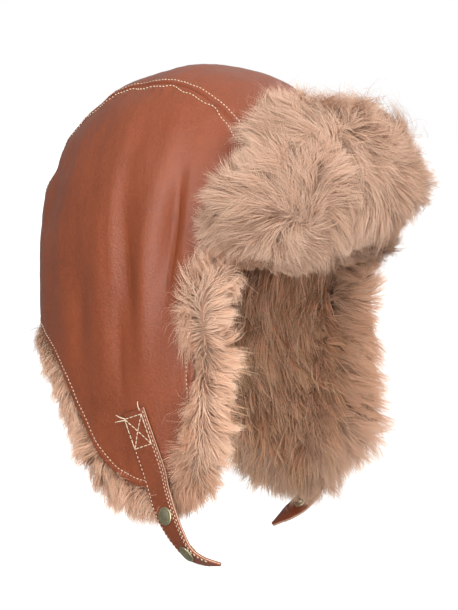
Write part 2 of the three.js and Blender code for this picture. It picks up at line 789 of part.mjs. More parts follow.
// Each side
const SIDES = [
  { word: "right", side: 1, strapRows: STRAP_RIGHT, seed: 31 },
  { word: "left", side: -1, strapRows: STRAP_LEFT, seed: 37 },
];
const flapSpan = { from: 4 / PANEL_COLUMNS, to: 27 / PANEL_COLUMNS, stations: 23 };
const rollRooms = [napeRoom];
const panelRooms = [crownStrip(CLEAR)];
for (const { word, side, strapRows, seed } of SIDES) {
  const edge = flapEdge(side);
  const run = strapRun(side, strapRows);
  const grid = flapLiningGrid(side);
  const rollRoom = rollCore(edge, side, flapSpan, CLEAR);
  const panelRoom = sidePanel(side, CLEAR);
  const snapRooms = SNAPS.map(({ row }) => {
    const at = run(row);
    return cylinder(SNAP_RADIUS + 1, 10, at.place, at.out);
  });
  const rooms = [panelRoom, strapBody(run, CLEAR), flapBacking(grid, CLEAR), ...snapRooms];
  rollRooms.push(rollRoom);
  panelRooms.push(panelRoom);

  add(`side_panel_${word}`, sidePanel(side), leather);
  add(`flap_lining_${word}`, flapLining(grid, seed + 1, rollRoom), liningFur);
  add(`edge_fur_${word}`, edgeFur(edge, side, flapSpan, seed, rooms), fur);
  add(`strap_${word}`, strap(run), strapLeather);
  for (const { name, row } of SNAPS) add(`snap_${word}_${name}`, snap(run(row)), brass);
}
add("crown_lining", crownLining(rollRooms), liningFur);

// The visor
add("visor_leather", visorLeather(), leather);
add("visor_fur", visorFur([...rollRooms, ...panelRooms]), fur);

export default hat;
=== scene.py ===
"""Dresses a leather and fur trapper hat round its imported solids.

The crown, the edge of the ear flaps, the visor and the straps have the same
formulas and tables as the solids, on finer grids. Everything is worked out in
millimetres, +Z up, with the wearer looking along -Y and their right side at -X,
and each mesh is written in metres.
"""

import bpy
import numpy as np
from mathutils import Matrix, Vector, kdtree


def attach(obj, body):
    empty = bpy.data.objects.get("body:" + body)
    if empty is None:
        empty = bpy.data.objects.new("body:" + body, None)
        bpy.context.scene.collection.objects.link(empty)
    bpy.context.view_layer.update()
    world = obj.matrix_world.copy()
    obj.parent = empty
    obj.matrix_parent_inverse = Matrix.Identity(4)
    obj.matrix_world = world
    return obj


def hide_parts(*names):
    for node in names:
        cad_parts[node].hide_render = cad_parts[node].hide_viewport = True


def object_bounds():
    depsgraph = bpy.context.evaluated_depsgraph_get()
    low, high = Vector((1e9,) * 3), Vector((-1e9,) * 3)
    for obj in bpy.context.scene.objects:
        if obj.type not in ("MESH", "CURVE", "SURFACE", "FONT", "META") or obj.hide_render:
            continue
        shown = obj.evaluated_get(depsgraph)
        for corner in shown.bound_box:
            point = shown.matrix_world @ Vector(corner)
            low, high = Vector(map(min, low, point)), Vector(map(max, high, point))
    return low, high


bl_info = {
    "name": "Trapper Hat",
    "version": (1, 0, 0),
    "blender": (4, 5, 0),
    "location": "3D View > Sidebar > Hat",
    "description": "Leather panels, stitching, snap straps and deep fur of a trapper hat",
    "category": "Add Mesh",
}

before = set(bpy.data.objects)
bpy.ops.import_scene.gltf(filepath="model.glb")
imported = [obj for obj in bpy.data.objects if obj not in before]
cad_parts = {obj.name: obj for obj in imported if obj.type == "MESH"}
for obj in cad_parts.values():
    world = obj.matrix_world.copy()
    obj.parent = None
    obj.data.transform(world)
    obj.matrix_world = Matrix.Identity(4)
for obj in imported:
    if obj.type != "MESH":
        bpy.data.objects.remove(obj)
CAD_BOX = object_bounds()

MM = 0.001
UP = np.array([0.0, 0.0, 1.0])
UV_NAME = "OFBake"


def columns(names, *rows):
    """A short table, as one array for each named column."""
    return dict(zip(names.split(), np.array(rows, float).T))


# Crown and flaps, measured on the outside of the leather. One degree of the wall spans ARC
HALF_WIDTH = 96
HALF_LENGTH = 115
CROWN_TOP = 121
WALL_TOP = -10
NAPE = -57
TOP_LEAN = 10
SIDE_POWER = 2.5
LENGTH_POWER = 2
DOME_POWER = 2.2
FLAP_DROP = 150
FLAP_TUCK = 5
STRIP_HALF = 48
ARC = 1.85
LEATHER = 1.6
STRAP_THICK = 2.2
SEAM_GAP = 0.3
BACKING = 8
LEFT_SAG = 9
LEFT_SWING = 9
DEEPEST_FOLD = 4.5

# Lower edge of a side panel, from the brow round the flap to the nape
FLAP_EDGE = columns(
    "angle z seam",
    (42, 0, 0.13),
    (51, -4, 0.27),
    (56.5, -18, 0.36),
    (57, -45, 0.4),
    (56.5, -76, 0.425),
    (57, -118, 0.445),
    (61.5, -144, 0.46),
    (72, -154, 0.48),
    (84, -151, 0.505),
    (95, -137, 0.54),
    (107, -107, 0.59),
    (117, -82, 0.66),
    (130, -65, 0.77),
    (142, -58, 0.88),
)

# Soft folds of the leather: the main ones, and fainter creases among them
FOLDS = columns(
    "angle z across along depth lean",
    (65, 16, 8, 48, -4.5, -0.1),
    (73, 4, 11, 60, 3, -0.08),
    (83, -26, 10, 50, -3.5, -0.04),
    (91, -10, 11, 60, 2.5, 0),
    (104, -34, 12, 50, -2.5, 0.05),
    (128, 30, 16, 30, -3, 0),
    (150, 56, 20, 12, -3, 0),
    (152, 34, 20, 9, 2, 0),
    (-70, 10, 12, 50, -4, -0.08),
    (-88, -20, 12, 55, 3, 0),
    (-104, -28, 12, 50, -3, 0.05),
    (-135, 40, 18, 22, -3, 0),
)
CREASES = columns(
    "angle z across along depth lean",
    (64.3, 13, 1.9, 36, -2.1, -0.06),
    (60.5, 12, 3, 40, 0.8, -0.06),
    (69, 12, 3.5, 46, 1.1, -0.06),
    (87, -5, 3.2, 42, 1.3, 0.01),
    (80.8, -16, 3.2, 32, -1.4, 0.03),
    (73.5, -16, 4, 44, 0.9, -0.04),
    (77.5, -34, 2.4, 20, -0.9, -0.03),
    (84.5, -70, 3, 26, -0.8, 0.04),
    (105, -24, 2.4, 22, 0.6, -0.16),
    (101.5, -30, 2.2, 26, -0.6, -0.12),
    (97, -42, 2.6, 26, 0.6, -0.1),
    (93, -60, 2.6, 24, -0.6, -0.06),
    (76, 62, 6, 14, 0.7, -0.1),
    (121, 58, 10, 6, -0.9, 0),
    (138, 50, 12, 4, -1.0, 0),
    (134, 12, 14, 6, -0.8, 0),
    (158, 8, 14, 7, -0.9, 0),
    (152, -18, 14, 6, -0.6, 0),
    (-80, -70, 3, 32, -1.0, 0.02),
    (-72, -10, 3, 32, -1.2, -0.05),
    (-96, 20, 4, 34, -1.0, -0.06),
    (-118, 40, 11, 6, -0.8, 0),
    (-150, 10, 14, 7, -0.9, 0),
)

# Section of the fur roll that edges the leather, and the comb and length of its hair
ROLL = columns(
    "out lift frontOut frontLift combOut combLift rightOut rightLift leftOut leftLift long frontLong",
    (-9, -3, -9, -3, 1.0, 0.1, -0.8, 0.4, -0.8, 0.4, 6, 8),
    (1.2, -3, 1.2, -3, 1.0, 0.0, -1.0, 0.3, -1.0, 0.3, 12, 22),
    (1.2, 0.5, 1.2, 6, 1.0, 0.0, -1.0, 0.1, -1.0, 0.1, 18, 29),
    (9, 2, 5, 15, 1.0, 0.0, -0.8, 0.3, -0.8, 0.3, 20, 26),
    (17, -3, 16, 14, 0.9, -0.1, 1.0, -0.2, 0.6, 0.3, 20, 23),
    (17, -11, 23, 0, 0.9, 0.1, 0.5, -0.8, 0.9, 0.4, 19, 23),
    (6, -18, 14, -13, 1.0, 0.1, 0.3, -1.0, 1.0, 0.1, 19, 24),
    (-9, -15, -9, -15, 1.0, 0.0, 0.8, 0.0, 1.0, 0.0, 18, 24),
)
ROLL_HEART = {"out": 5, "lift": -7, "frontOut": 9, "frontLift": -2}
ROLL_STATIONS = 110
ROLL_POINTS = 26
ROLL_INSET = 5.5

# Share of the full density of hair that shows at the rows of the section
ROLL_SHOWN = columns(
    "row share", (0, 0.3), (0.9, 0.3), (1.1, 0.8), (2, 1), (6.2, 1), (7, 1), (8, 0.6)
)

# How the hair at the front rises, down the edge: in its tufts and on its face, and its reach
RISES = columns(
    "z tuft face reach",
    (0, 1.2, 1.0, 1.2),
    (-12, 0.3, 0.8, 1.1),
    (-25, -0.4, 0.5, 1.0),
    (-42, -0.5, 0.1, 1.4),
    (-54, -0.4, -0.15, 0.8),
    (-62, -0.3, -0.3, 0.2),
    (-80, -0.3, -0.35, 0.15),
    (-92, -0.2, -0.4, 0.9),
    (-104, -0.2, -0.45, 1.4),
    (-115, -0.2, -0.45, 0.5),
    (-126, 0, -0.45, 1.3),
    (-146, 0.2, -0.4, 0.7),
    (-160, 0.4, -0.3, 1.0),
    (-190, 0.2, -0.2, 1.0),
)

# Where the roll stops standing off the front edge of a flap, and from where it lies flat
STANDS_UNTIL = {"angle": 57, "z": -118}
LIES_FROM = {"angle": 66, "z": -152}

# Shares along the edge of each flap between which its hair grows
FLAP_HAIR = {"right": (1.8 / 28, 1.0), "left": (2.5 / 28, 1.0)}

# Foot of the crown's lining
LINING_FOOT = columns(
    "angle z", (0, -3), (46, -3), (52, 6), (66, -4), (132, -42), (150, -50), (180, -50)
)

# The visor: its leather, and the fur in front of each row
VISOR = columns(
    "row z stand reach furZ furStand",
    (0, -3, 1.2, 49, -12, 9),
    (1, 8, 5.5, 49, 3, 25),
    (2, 26, 9, 47, 24, 34),
    (3, 46, 6, 44, 48, 37),
    (4, 66, -3, 40, 74, 31),
    (5, 80, -12, 35, 96, 6),
)
FUR_REACH = 1.1
FUR_INSET = 9.0
WHORL = {"angle": 28, "z": 22, "size": 9}

# Which way the visor's fur is combed at some places: to the wearer's left, and up
VISOR_COMBS = columns(
    "angle z left up",
    (60, 60, -1, 0.2),
    (60, 20, -1, -0.3),
    (36, 90, -0.5, 0.8),
    (29, 89, -0.5, 0.9),
    (19, 89, -0.6, 0.8),
    (5, 89, 0.2, 1),
    (-13, 89, 0.9, 0.5),
    (-29, 89, 1, 0.1),
    (34, 81, -0.9, -0.4),
    (22, 72, -0.9, 0.4),
    (27, 66, 0.2, 1),
    (31, 65, 0, 1),
    (23, 62, 0.8, 0.6),
    (17, 66, 0.9, 0.4),
    (7, 72, 0.1, -1),
    (3, 62, 0.8, -0.6),
    (-9, 57, 1, -0.3),
    (-18, 48, 1, -0.3),
    (-5, 69, 1, 0),
    (-16, 78, 1, 0.1),
    (-28, 76, 1, 0),
    (-29, 58, 1, -0.1),
    (33, 30, -1, 0),
    (36, 39, -0.7, 0.7),
    (40, 51, -0.6, 0.8),
    (33, 47, -0.3, 1),
    (29, 48, 0, 1),
    (25, 48, 0.5, 0.9),
    (43, 29, -0.9, 0.4),
    (47, 41, -1, -0.3),
    (49, 27, -1, -0.1),
    (46, 21, -1, -0.1),
    (43, 17, -0.9, -0.3),
    (33, 22, -0.9, -0.4),
    (35, 8, -0.4, -0.9),
    (24, 22, 0.7, -0.7),
    (23, 6, 0.3, -1),
    (20, 15, -0.1, -1),
    (19, 35, 0.9, -0.5),
    (13, 26, 0.7, -0.7),
    (4, 11, 0.7, -0.8),
    (8, 35, 0.2, -1),
    (6, 43, -0.9, -0.3),
    (-4, 35, 0.2, -1),
    (-4, 22, -0.2, -1),
    (-10, 43, 0.7, -0.7),
    (-19, 39, 0.9, -0.4),
    (-22, 22, 0.8, -0.6),
    (-28, 8, 1, -0.2),
    (-9, 6, 0.9, -0.5),
    (-60, 60, 1, 0.4),
    (-60, 20, 0.9, -0.5),
)
VISOR_COMBS["around"] = VISOR_COMBS["angle"] * ARC

# Places where the fur parts and lets its depth be seen: the hair there is shorter, and painted shade
# darkens it
VISOR_PARTINGS = columns(
    "angle z size",
    (29, 69, 5),
    (24, 70, 5),
    (3, 72, 5),
    (13, 52, 5),
    (11, 18, 7),
    (36, 25, 4),
    (42, 28, 4),
    (43, 15, 4),
    (-19, 31, 6),
    (13, 27, 4),
)

# Which way the lining of a flap is combed at some places: forwards, and up
LINING_COMBS = columns(
    "y z forward up",
    (60, -20, 0.2, -1),
    (60, -60, 0.3, -1),
    (12, -49, 0.1, -1),
    (-2, -78, 0.5, -0.85),
    (-14, -78, 0.6, -0.8),
    (-6, -112, 0.7, -0.8),
    (10, -134, 0.55, -0.9),
    (-14, -141, 0.5, -0.9),
    (5, -157, 0.1, -1),
    (-36, -159, 0.2, -1),
    (-42, -114, 0.7, -0.6),
    (-52, -140, 0.6, -0.8),
    (-31, -88, 0.7, -0.7),
    (-44, -65, 0.7, -0.7),
    (-57, -90, 0.9, -0.4),
    (-34, -45, 0.1, -1),
    (-56, -31, -0.4, -0.9),
    (-9, -40, 0.3, -1),
    (-57, -60, 0.9, -0.3),
)

# Straps: the rows on the flap, then the rows that hang, as on the right side
STRAP_HALF_WIDTH = 9
STRAP_LIES = {
    "right": columns(
        "angle z stand",
        (78.4, -103, 0.6),
        (75.8, -116.5, 0.6),
        (72.8, -131.5, 0.6),
        (69.8, -147, 1.2),
    ),
    "left": columns(
        "angle z stand",
        (69, -111, 0.6),
        (70.2, -125, 0.6),
        (71.6, -140, 0.6),
        (73.2, -156, 1.2),
    ),
}
STRAP_HANGS = {
    "right": columns(
        "x y z turn width",
        (-95, -48.5, -159.5, 2, 1),
        (-97, -55, -168.5, 8, 1),
        (-97, -63, -180, 20, 1),
        (-95, -71.6, -190.5, 36, 1),
        (-92, -81.5, -195, 50, 0.8),
        (-88, -93, -196.5, 60, 0.16),
    ),
    "left": columns(
        "x y z turn width",
        (-94.5, -31.5, -167, 0, 1),
        (-95.5, -29.5, -176, -4, 1),
        (-93.5, -26, -185, -8, 1),
        (-88.5, -20.5, -194, -13, 1),
        (-81.5, -13, -202, -20, 0.8),
        (-74, -5, -210, -26, 0.16),
    ),
}
STRAP_ROWS = 9
SNAP_ROWS = {"upper": 5, "lower": 7}
SNAP_RADIUS = 6.2
THREAD_SIDES = 5
SIDES = {"right": 1, "left": -1}

# The middle of the view, and the soft lights: their directions in degrees, their distances
# and sizes in metres, and their shares of the key light's power
VIEW_CENTRE = (12.9, -15.3, -43.9)
LENS = 136.8
LIGHT_NAMES = ("key", "front", "side", "far", "inner")
LIGHTS = columns(
    "azimuth elevation far size share",
    (-14, 36, 1.7, 1.1, 1),
    (-62, 0, 1.9, 1.5, 0.85),
    (-94, 24, 1.8, 0.6, 0.45),
    (70, 30, 1.9, 1.2, 0.25),
    (-46, -9, 1.8, 0.7, 0.35),
)


# Vectors


def unit(v):
    """Vectors made one long."""
    return v / np.maximum(np.linalg.norm(v, axis=-1, keepdims=True), 1e-9)


def along_last(a, b):
    """Dot products of two arrays of vectors, kept as a last axis of one."""
    return np.sum(a * b, axis=-1, keepdims=True)


def flattened(v, normal):
    """Vectors laid in the plane across each normal, one long."""
    return unit(v - normal * along_last(v, normal))


def turned(v, axis, angle):
    """Vectors turned about axes that they lie across."""
    return v * np.cos(angle)[..., None] + np.cross(axis, v) * np.sin(angle)[..., None]


def ease(value, low, high):
    """0 below low, 1 above high, and smooth between."""
    t = np.clip((value - low) / (high - low), 0, 1)
    return t * t * (3 - 2 * t)


def swell(value, centre, half):
    """1 at the centre, falling away smoothly to each side."""
    return np.exp(-(((value - centre) / half) ** 2))


def ripple(p, size, seed, waves=8):
    """A smooth random field over space, about -1 to 1, with humps of about that size."""
    rng = np.random.default_rng(seed)
    total = np.zeros(p.shape[:-1])
    for _ in range(waves):
        way = unit(rng.normal(size=3)) * (np.pi / size) * rng.uniform(0.6, 1.5)
        total += np.sin(p @ way + rng.uniform(0, 2 * np.pi))
    return total / np.sqrt(waves / 2) / 1.4


# The crown's form


def level(p):
    """Below 1 inside the crown, 1 on the outer face of the leather."""
    rise = np.maximum(0, (p[..., 2] - WALL_TOP) / (CROWN_TOP - WALL_TOP))
    drop = np.maximum(0, (WALL_TOP - p[..., 2]) / FLAP_DROP)
    width = HALF_WIDTH - FLAP_TUCK * drop**2
    along = np.abs(p[..., 1] + TOP_LEAN * rise**2) / HALF_LENGTH
    return np.abs(p[..., 0] / width) ** SIDE_POWER + along**LENGTH_POWER + rise**DOME_POWER


def last_inside(point_at, far):
    """The last point inside the crown on each way out, found by halving from a far one."""
    low, high = np.zeros_like(far), far
    for _ in range(42):
        middle = (low + high) / 2
        inside = level(point_at(middle)) < 1
        low, high = np.where(inside, middle, low), np.where(inside, high, middle)
    return point_at(low)


def meet(heart, step):
    """Scales a step from a heart until it meets the leather's outer face."""

    def scaled(by):
        return heart + step * by[..., None]

    return last_inside(scaled, 400 / np.linalg.norm(step, axis=-1))


def on_crown(p):
    """Points moved straight out from the crown's heart to its outer face."""
    heart = np.zeros_like(p)
    heart[..., 2] = np.minimum(p[..., 2], WALL_TOP)
    return meet(heart, p - heart)


def on_wall(angle, z):
    """Points of the outer face at angles round the crown, level with their heights."""
    angle, z = np.broadcast_arrays(np.radians(np.asarray(angle, float)), np.asarray(z, float))
    still = np.zeros_like(z)
    step = np.stack([-HALF_WIDTH * np.sin(angle), -HALF_LENGTH * np.cos(angle), still], axis=-1)
    return meet(np.stack([still, still, z], axis=-1), step)


def angle_of(p):
    """Angles of points round the crown, in degrees from the brow to the wearer's right."""
    return np.degrees(np.arctan2(-p[..., 0] / HALF_WIDTH, -p[..., 1] / HALF_LENGTH))


def outward(p):
    """The ways out of the crown at points."""
    slope = [level(p + step) - level(p - step) for step in 0.05 * np.eye(3)]
    return unit(np.stack(slope, axis=-1))


def fold_at(p, folds):
    """How far a table of folds moves the leather out at points."""
    depth = np.zeros(p.shape[:-1])
    for angle, z, across, along, deep, lean in zip(*folds.values()):
        height = p[..., 2] - z
        turn = angle_of(p) - angle - lean * height
        turn -= 360 * np.round(turn / 360)
        depth += deep * np.exp(-((turn * ARC / across) ** 2) - (height / along) ** 2)
    return depth


def skin(p, offset):
    """Points of the crown pushed out by an offset, main folds included."""
    return p + outward(p) * np.asarray(offset + fold_at(p, FOLDS))[..., None]


def under_skin(p, depth):
    """Points of the crown sunk below the back of the leather and its deepest fold."""
    return p - outward(p) * (LEATHER + SEAM_GAP + DEEPEST_FOLD + depth)


def height_over(p):
    """How far points lie outside the leather's outer face."""
    slope = np.stack([level(p + step) - level(p - step) for step in 0.5 * np.eye(3)], axis=-1)
    return (level(p) - 1) / np.maximum(np.linalg.norm(slope, axis=-1), 1e-4) - fold_at(p, FOLDS)


def on_rib(x, along):
    """Points of the front-to-back rib at x, from the brow (0) to the nape (1)."""
    x, along = np.broadcast_arrays(np.asarray(x, float), np.asarray(along, float))
    still = np.zeros_like(x)
    brow = meet(np.stack([still] * 3, axis=-1), np.stack([x, still - HALF_LENGTH, still], axis=-1))
    start = np.arctan2(-WALL_TOP, np.abs(brow[..., 1]))
    end = np.pi + np.arctan2(WALL_TOP - NAPE, HALF_LENGTH)
    angle = start + (end - start) * along

    def spoke(length):
        return np.stack([x, -length * np.cos(angle), WALL_TOP + length * np.sin(angle)], axis=-1)

    return last_inside(spoke, np.full_like(x, 300))


# Curves


def curve_at(points, rows):
    """Points of the smooth curve through a list of points, at fractional rows."""
    points = np.asarray(points, float)
    padded = np.vstack([2 * points[0] - points[1], points, 2 * points[-1] - points[-2]])
    rows = np.clip(np.asarray(rows, float), 0, len(points) - 1)
    low = np.minimum(rows.astype(int), len(points) - 2)
    share = (rows - low)[..., None]
    a, b, c, d = (padded[low + i] for i in range(4))
    steps = (np.linalg.norm(step, axis=-1, keepdims=True) for step in (b - a, c - b, d - c))
    first, middle, last = (np.maximum(np.sqrt(step), 1e-4) for step in steps)
    leave = (b - a) / first - (c - a) / (first + middle) + (c - b) / middle
    arrive = (c - b) / middle - (d - b) / (middle + last) + (d - c) / last
    leave, arrive = leave * middle, arrive * middle
    cube = 2 * b - 2 * c + leave + arrive
    square = -3 * b + 3 * c - 2 * leave - arrive
    return b + leave * share + square * share**2 + cube * share**3


def lengths_along(line):
    """Distances along a line of points, from its first one."""
    steps = np.linalg.norm(np.diff(line, axis=0), axis=-1)
    return np.concatenate([[0], np.cumsum(steps)])


def curve_by_length(points, shares):
    """Points of the same curve at shares of its length."""
    rows = np.linspace(0, len(points) - 1, 600)
    length = lengths_along(curve_at(points, rows))
    return curve_at(points, np.interp(shares, length / length[-1], rows))


def evenly(path, pitch):
    """Points of a polyline at even steps of about a pitch."""
    length = lengths_along(path)
    count = max(2, int(length[-1] / pitch) + 1)
    at = np.linspace(0, length[-1], count)
    return np.stack([np.interp(at, length, path[:, axis]) for axis in range(3)], axis=-1)


def read(table, key, at, column):
    """A smooth reading of a table by one of its columns."""
    keys, values = table[key], table[column]
    slopes = np.gradient(values, keys)
    low = np.clip(np.searchsorted(keys, at, side="right") - 1, 0, len(keys) - 2)
    span = keys[low + 1] - keys[low]
    t = np.clip((at - keys[low]) / span, -0.4, 1.4)
    rise = values[low + 1] - values[low]
    leave, arrive = slopes[low] * span - rise, slopes[low + 1] * span - rise
    return values[low] + rise * t + t * (1 - t) * ((1 - t) * leave - t * arrive)


def nearest(spots, points):
    """The nearest of some spots to each point, by its number, and how far off it is."""
    tree = kdtree.KDTree(len(spots))
    for i, spot in enumerate(spots):
        tree.insert(spot, i)
    tree.balance()
    owner, distance = zip(*(tree.find(p)[1:] for p in points))
    return np.array(owner), np.array(distance)


# Outlines


def flap_outline(side):
    """The lower edge of a side panel: angle, height and the seam's share that faces it."""
    fall = ease(-FLAP_EDGE["z"], 60, 150) if side < 0 else np.zeros(len(FLAP_EDGE["z"]))
    angle = FLAP_EDGE["angle"] + LEFT_SWING * fall * (FLAP_EDGE["angle"] - 56) / 40
    rows = np.stack([angle * ARC, FLAP_EDGE["z"] - LEFT_SAG * fall, FLAP_EDGE["seam"]], axis=-1)
    ends = on_rib(-STRIP_HALF - SEAM_GAP / 2, np.array([0.0, 1.0]))
    first, last = np.stack([angle_of(ends) * ARC, ends[:, 2], [0.0, 1.0]], axis=-1)
    rows = np.vstack([first, rows, last])

    def outline(along):
        at = curve_by_length(rows, np.asarray(along, float))
        return side * at[..., 0] / ARC, at[..., 1], at[..., 2]

    return outline


def flap_edge(side):
    """The lower edge of a side panel, as a function of shares along it."""
    outline = flap_outline(side)

    def edge(along):
        angle, z, _ = outline(along)
        return on_wall(angle, z)

    return edge


def nape_edge(along):
    """The foot of the middle panel at the nape, from one seam to the other."""
    start = angle_of(on_rib(-STRIP_HALF + SEAM_GAP, 1.0))
    return on_wall(start + (360 - 2 * start) * np.asarray(along, float), NAPE)


def wide_nape_edge(along):
    """The nape's edge, drawn out a little under both flaps."""
    return nape_edge(-0.07 + 1.14 * np.asarray(along, float))


def edge_frame(edge, along, side):
    """At places along an edge: its points, the ways out and up, and the share of standing."""
    step = 0.004
    on = unit(edge(np.minimum(1, along + step)) - edge(np.maximum(0, along - step)))
    base = edge(along)
    lift = outward(base)
    out = unit(np.cross(lift, on)) * side
    stands, lies = STANDS_UNTIL, LIES_FROM
    lying = (np.abs(angle_of(base)) - stands["angle"]) / (lies["angle"] - stands["angle"])
    lowered = (stands["z"] - base[..., 2]) / (stands["z"] - lies["z"])
    front = 1 - ease(np.maximum(lying, lowered), 0, 1)
    return {"base": skin(base, 0), "out": out, "lift": lift, "front": front}


def on_visor(across, z, offset):
    """Points of the turned-up visor, across from -1 (left) to 1 (right)."""
    rim = on_wall(across * read(VISOR, "z", z, "reach"), 0)
    out = outward(rim)
    out[..., 2] = 0
    out = unit(out)
    lean = (read(VISOR, "z", z + 3, "stand") - read(VISOR, "z", z - 3, "stand")) / 6
    normal = unit(out - UP * lean[..., None])
    rim[..., 2] = z
    return rim + out * read(VISOR, "z", z, "stand")[..., None] + normal * offset


def on_visor_fur(across, row):
    """Points of the outer face of the visor's fur, row counted up its section."""
    reach = read(VISOR, "row", row, "reach")
    rim = on_wall(across * reach * FUR_REACH, 0)
    out = outward(rim)
    out[..., 2] = 0
    stand = read(VISOR, "row", row, "furStand") * (1 - 0.55 * across**6)
    rim[..., 2] = read(VISOR, "row", row, "furZ")
    return rim + unit(out) * stand[..., None]


def strap_run(word):
    """A strap's run: its places, ways across, ways out and half widths at rows."""
    lies, hangs = STRAP_LIES[word], STRAP_HANGS[word]
    on_flap = on_wall(lies["angle"], lies["z"])
    places = np.vstack(
        [
            skin(on_flap, lies["stand"] + STRAP_THICK / 2),
            np.stack([hangs["x"], hangs["y"], hangs["z"]], axis=-1),
        ]
    )
    turns = np.concatenate([np.zeros(len(on_flap)), hangs["turn"]])
    widths = np.concatenate([np.ones(len(on_flap)), hangs["width"]])
    face_out = outward(on_flap[:1])
    mirror = np.array([SIDES[word], 1, 1])

    def run(rows):
        rows = np.asarray(rows, float)
        on = unit(curve_at(places, rows + 0.02) - curve_at(places, rows - 0.02))
        order = np.arange(len(places))
        turn = np.radians(np.interp(rows, order, turns))
        out = turned(flattened(face_out, on), on, turn)
        across = unit(np.cross(on, out))
        half = np.interp(rows, order, widths) * STRAP_HALF_WIDTH
        return curve_at(places, rows) * mirror, across * mirror, out * mirror, half

    return run


# Meshes


def part(points, faces, material=0, uv=None, normals=None):
    """A run of points with its faces, ready to be joined with others into one piece."""
    points = np.asarray(points, float).reshape(-1, 3)
    faces = [np.asarray(f, int) for f in faces if len(f)]
    uv = np.zeros((len(points), 2)) if uv is None else np.asarray(uv, float).reshape(-1, 2)
    normals = np.zeros_like(points) if normals is None else np.asarray(normals, float)
    normals = normals.reshape(-1, 3)
    return {"points": points, "faces": faces, "material": material, "uv": uv, "normals": normals}


def grid_faces(high, wide, around=False, flip=False):
    """Quads of a grid of points, joined round its second axis if around."""
    i, j = np.meshgrid(np.arange(high - 1), np.arange(wide if around else wide - 1), indexing="ij")
    this, following = i * wide, (i + 1) * wide
    after = (j + 1) % wide
    quads = np.stack([this + j, following + j, following + after, this + after], axis=-1)
    quads = quads.reshape(-1, 4)
    return quads[:, ::-1] if flip else quads


def wall(outer, inner, round_by):
    """A sheet of leather between two grids of points, its edges rounded."""
    rim_low = (outer[:, -1] + inner[:, -1]) / 2 + unit(outer[:, -1] - outer[:, -2]) * round_by
    rim_high = (outer[:, 0] + inner[:, 0]) / 2 + unit(outer[:, 0] - outer[:, 1]) * round_by
    ring = np.concatenate([outer, rim_low[:, None], inner[:, ::-1], rim_high[:, None]], axis=1)
    high, wide = ring.shape[:2]
    rows = outer.shape[1]
    faces = [grid_faces(high, wide, around=True)]
    for i, flip in ((0, False), (high - 1, True)):
        start = i * wide
        j = np.arange(rows - 1)
        mirrored = wide - 2 - j
        quads = np.stack([j, j + 1, mirrored - 1, mirrored], axis=-1) + start
        ends = np.array([[rows - 1, rows, rows + 1], [0, wide - 2, wide - 1]]) + start
        faces += [quads[:, ::-1], ends[:, ::-1]] if flip else [quads, ends]
    return part(ring, faces)


def turned_over(made):
    """A part with its faces the other way round."""
    return {**made, "faces": [f[:, ::-1] for f in made["faces"]]}


def loft(rings, material=0):
    """A closed body through rings of points, with flat ends, its faces turned out."""
    high, wide = rings.shape[:2]
    ends = np.stack([np.arange(wide), (high - 1) * wide + np.arange(wide)[::-1]])
    made = part(rings, [grid_faces(high, wide, around=True), ends], material)
    corners = made["points"][made["faces"][0][:, :3]]
    normal = np.cross(corners[:, 1] - corners[:, 0], corners[:, 2] - corners[:, 0])
    outwards = corners.mean(axis=1) - made["points"].mean(axis=0)
    return turned_over(made) if np.sum(normal * outwards) < 0 else made


def circle(across, third, sides):
    """Unit vectors all round, from pairs of ways that lie across each other."""
    turn = np.arange(sides)[:, None] * 2 * np.pi / sides
    return across[..., None, :] * np.cos(turn) + third[..., None, :] * np.sin(turn)


def revolve(profile, place, axis):
    """A turned body from (radius, height) pairs that begin and end on its axis."""
    sides = 28
    across = unit(np.cross(axis, UP + [0.3, 0.1, 0]))
    round_way = circle(across, np.cross(axis, across), sides)
    profile = np.array(profile, float)
    rings = place + axis * profile[1:-1, 1, None, None] + round_way * profile[1:-1, 0, None, None]
    tips = place + axis * profile[[0, -1], 1, None]
    count = len(profile) - 2
    points = np.vstack([rings.reshape(-1, 3), tips])
    j = np.arange(sides)
    after = (j + 1) % sides
    first, last = np.full((2, sides), count * sides) + [[0], [1]]
    end = (count - 1) * sides
    caps = [np.stack(c, axis=-1) for c in ((first, after, j), (last, end + j, end + after))]
    quads = grid_faces(count, sides, around=True, flip=True)
    made = part(points, [np.vstack(caps), quads])
    normal = np.cross(points[after[0]] - tips[0], points[j[0]] - tips[0])
    return turned_over(made) if normal @ axis * (profile[0, 1] - profile[-1, 1]) < 0 else made


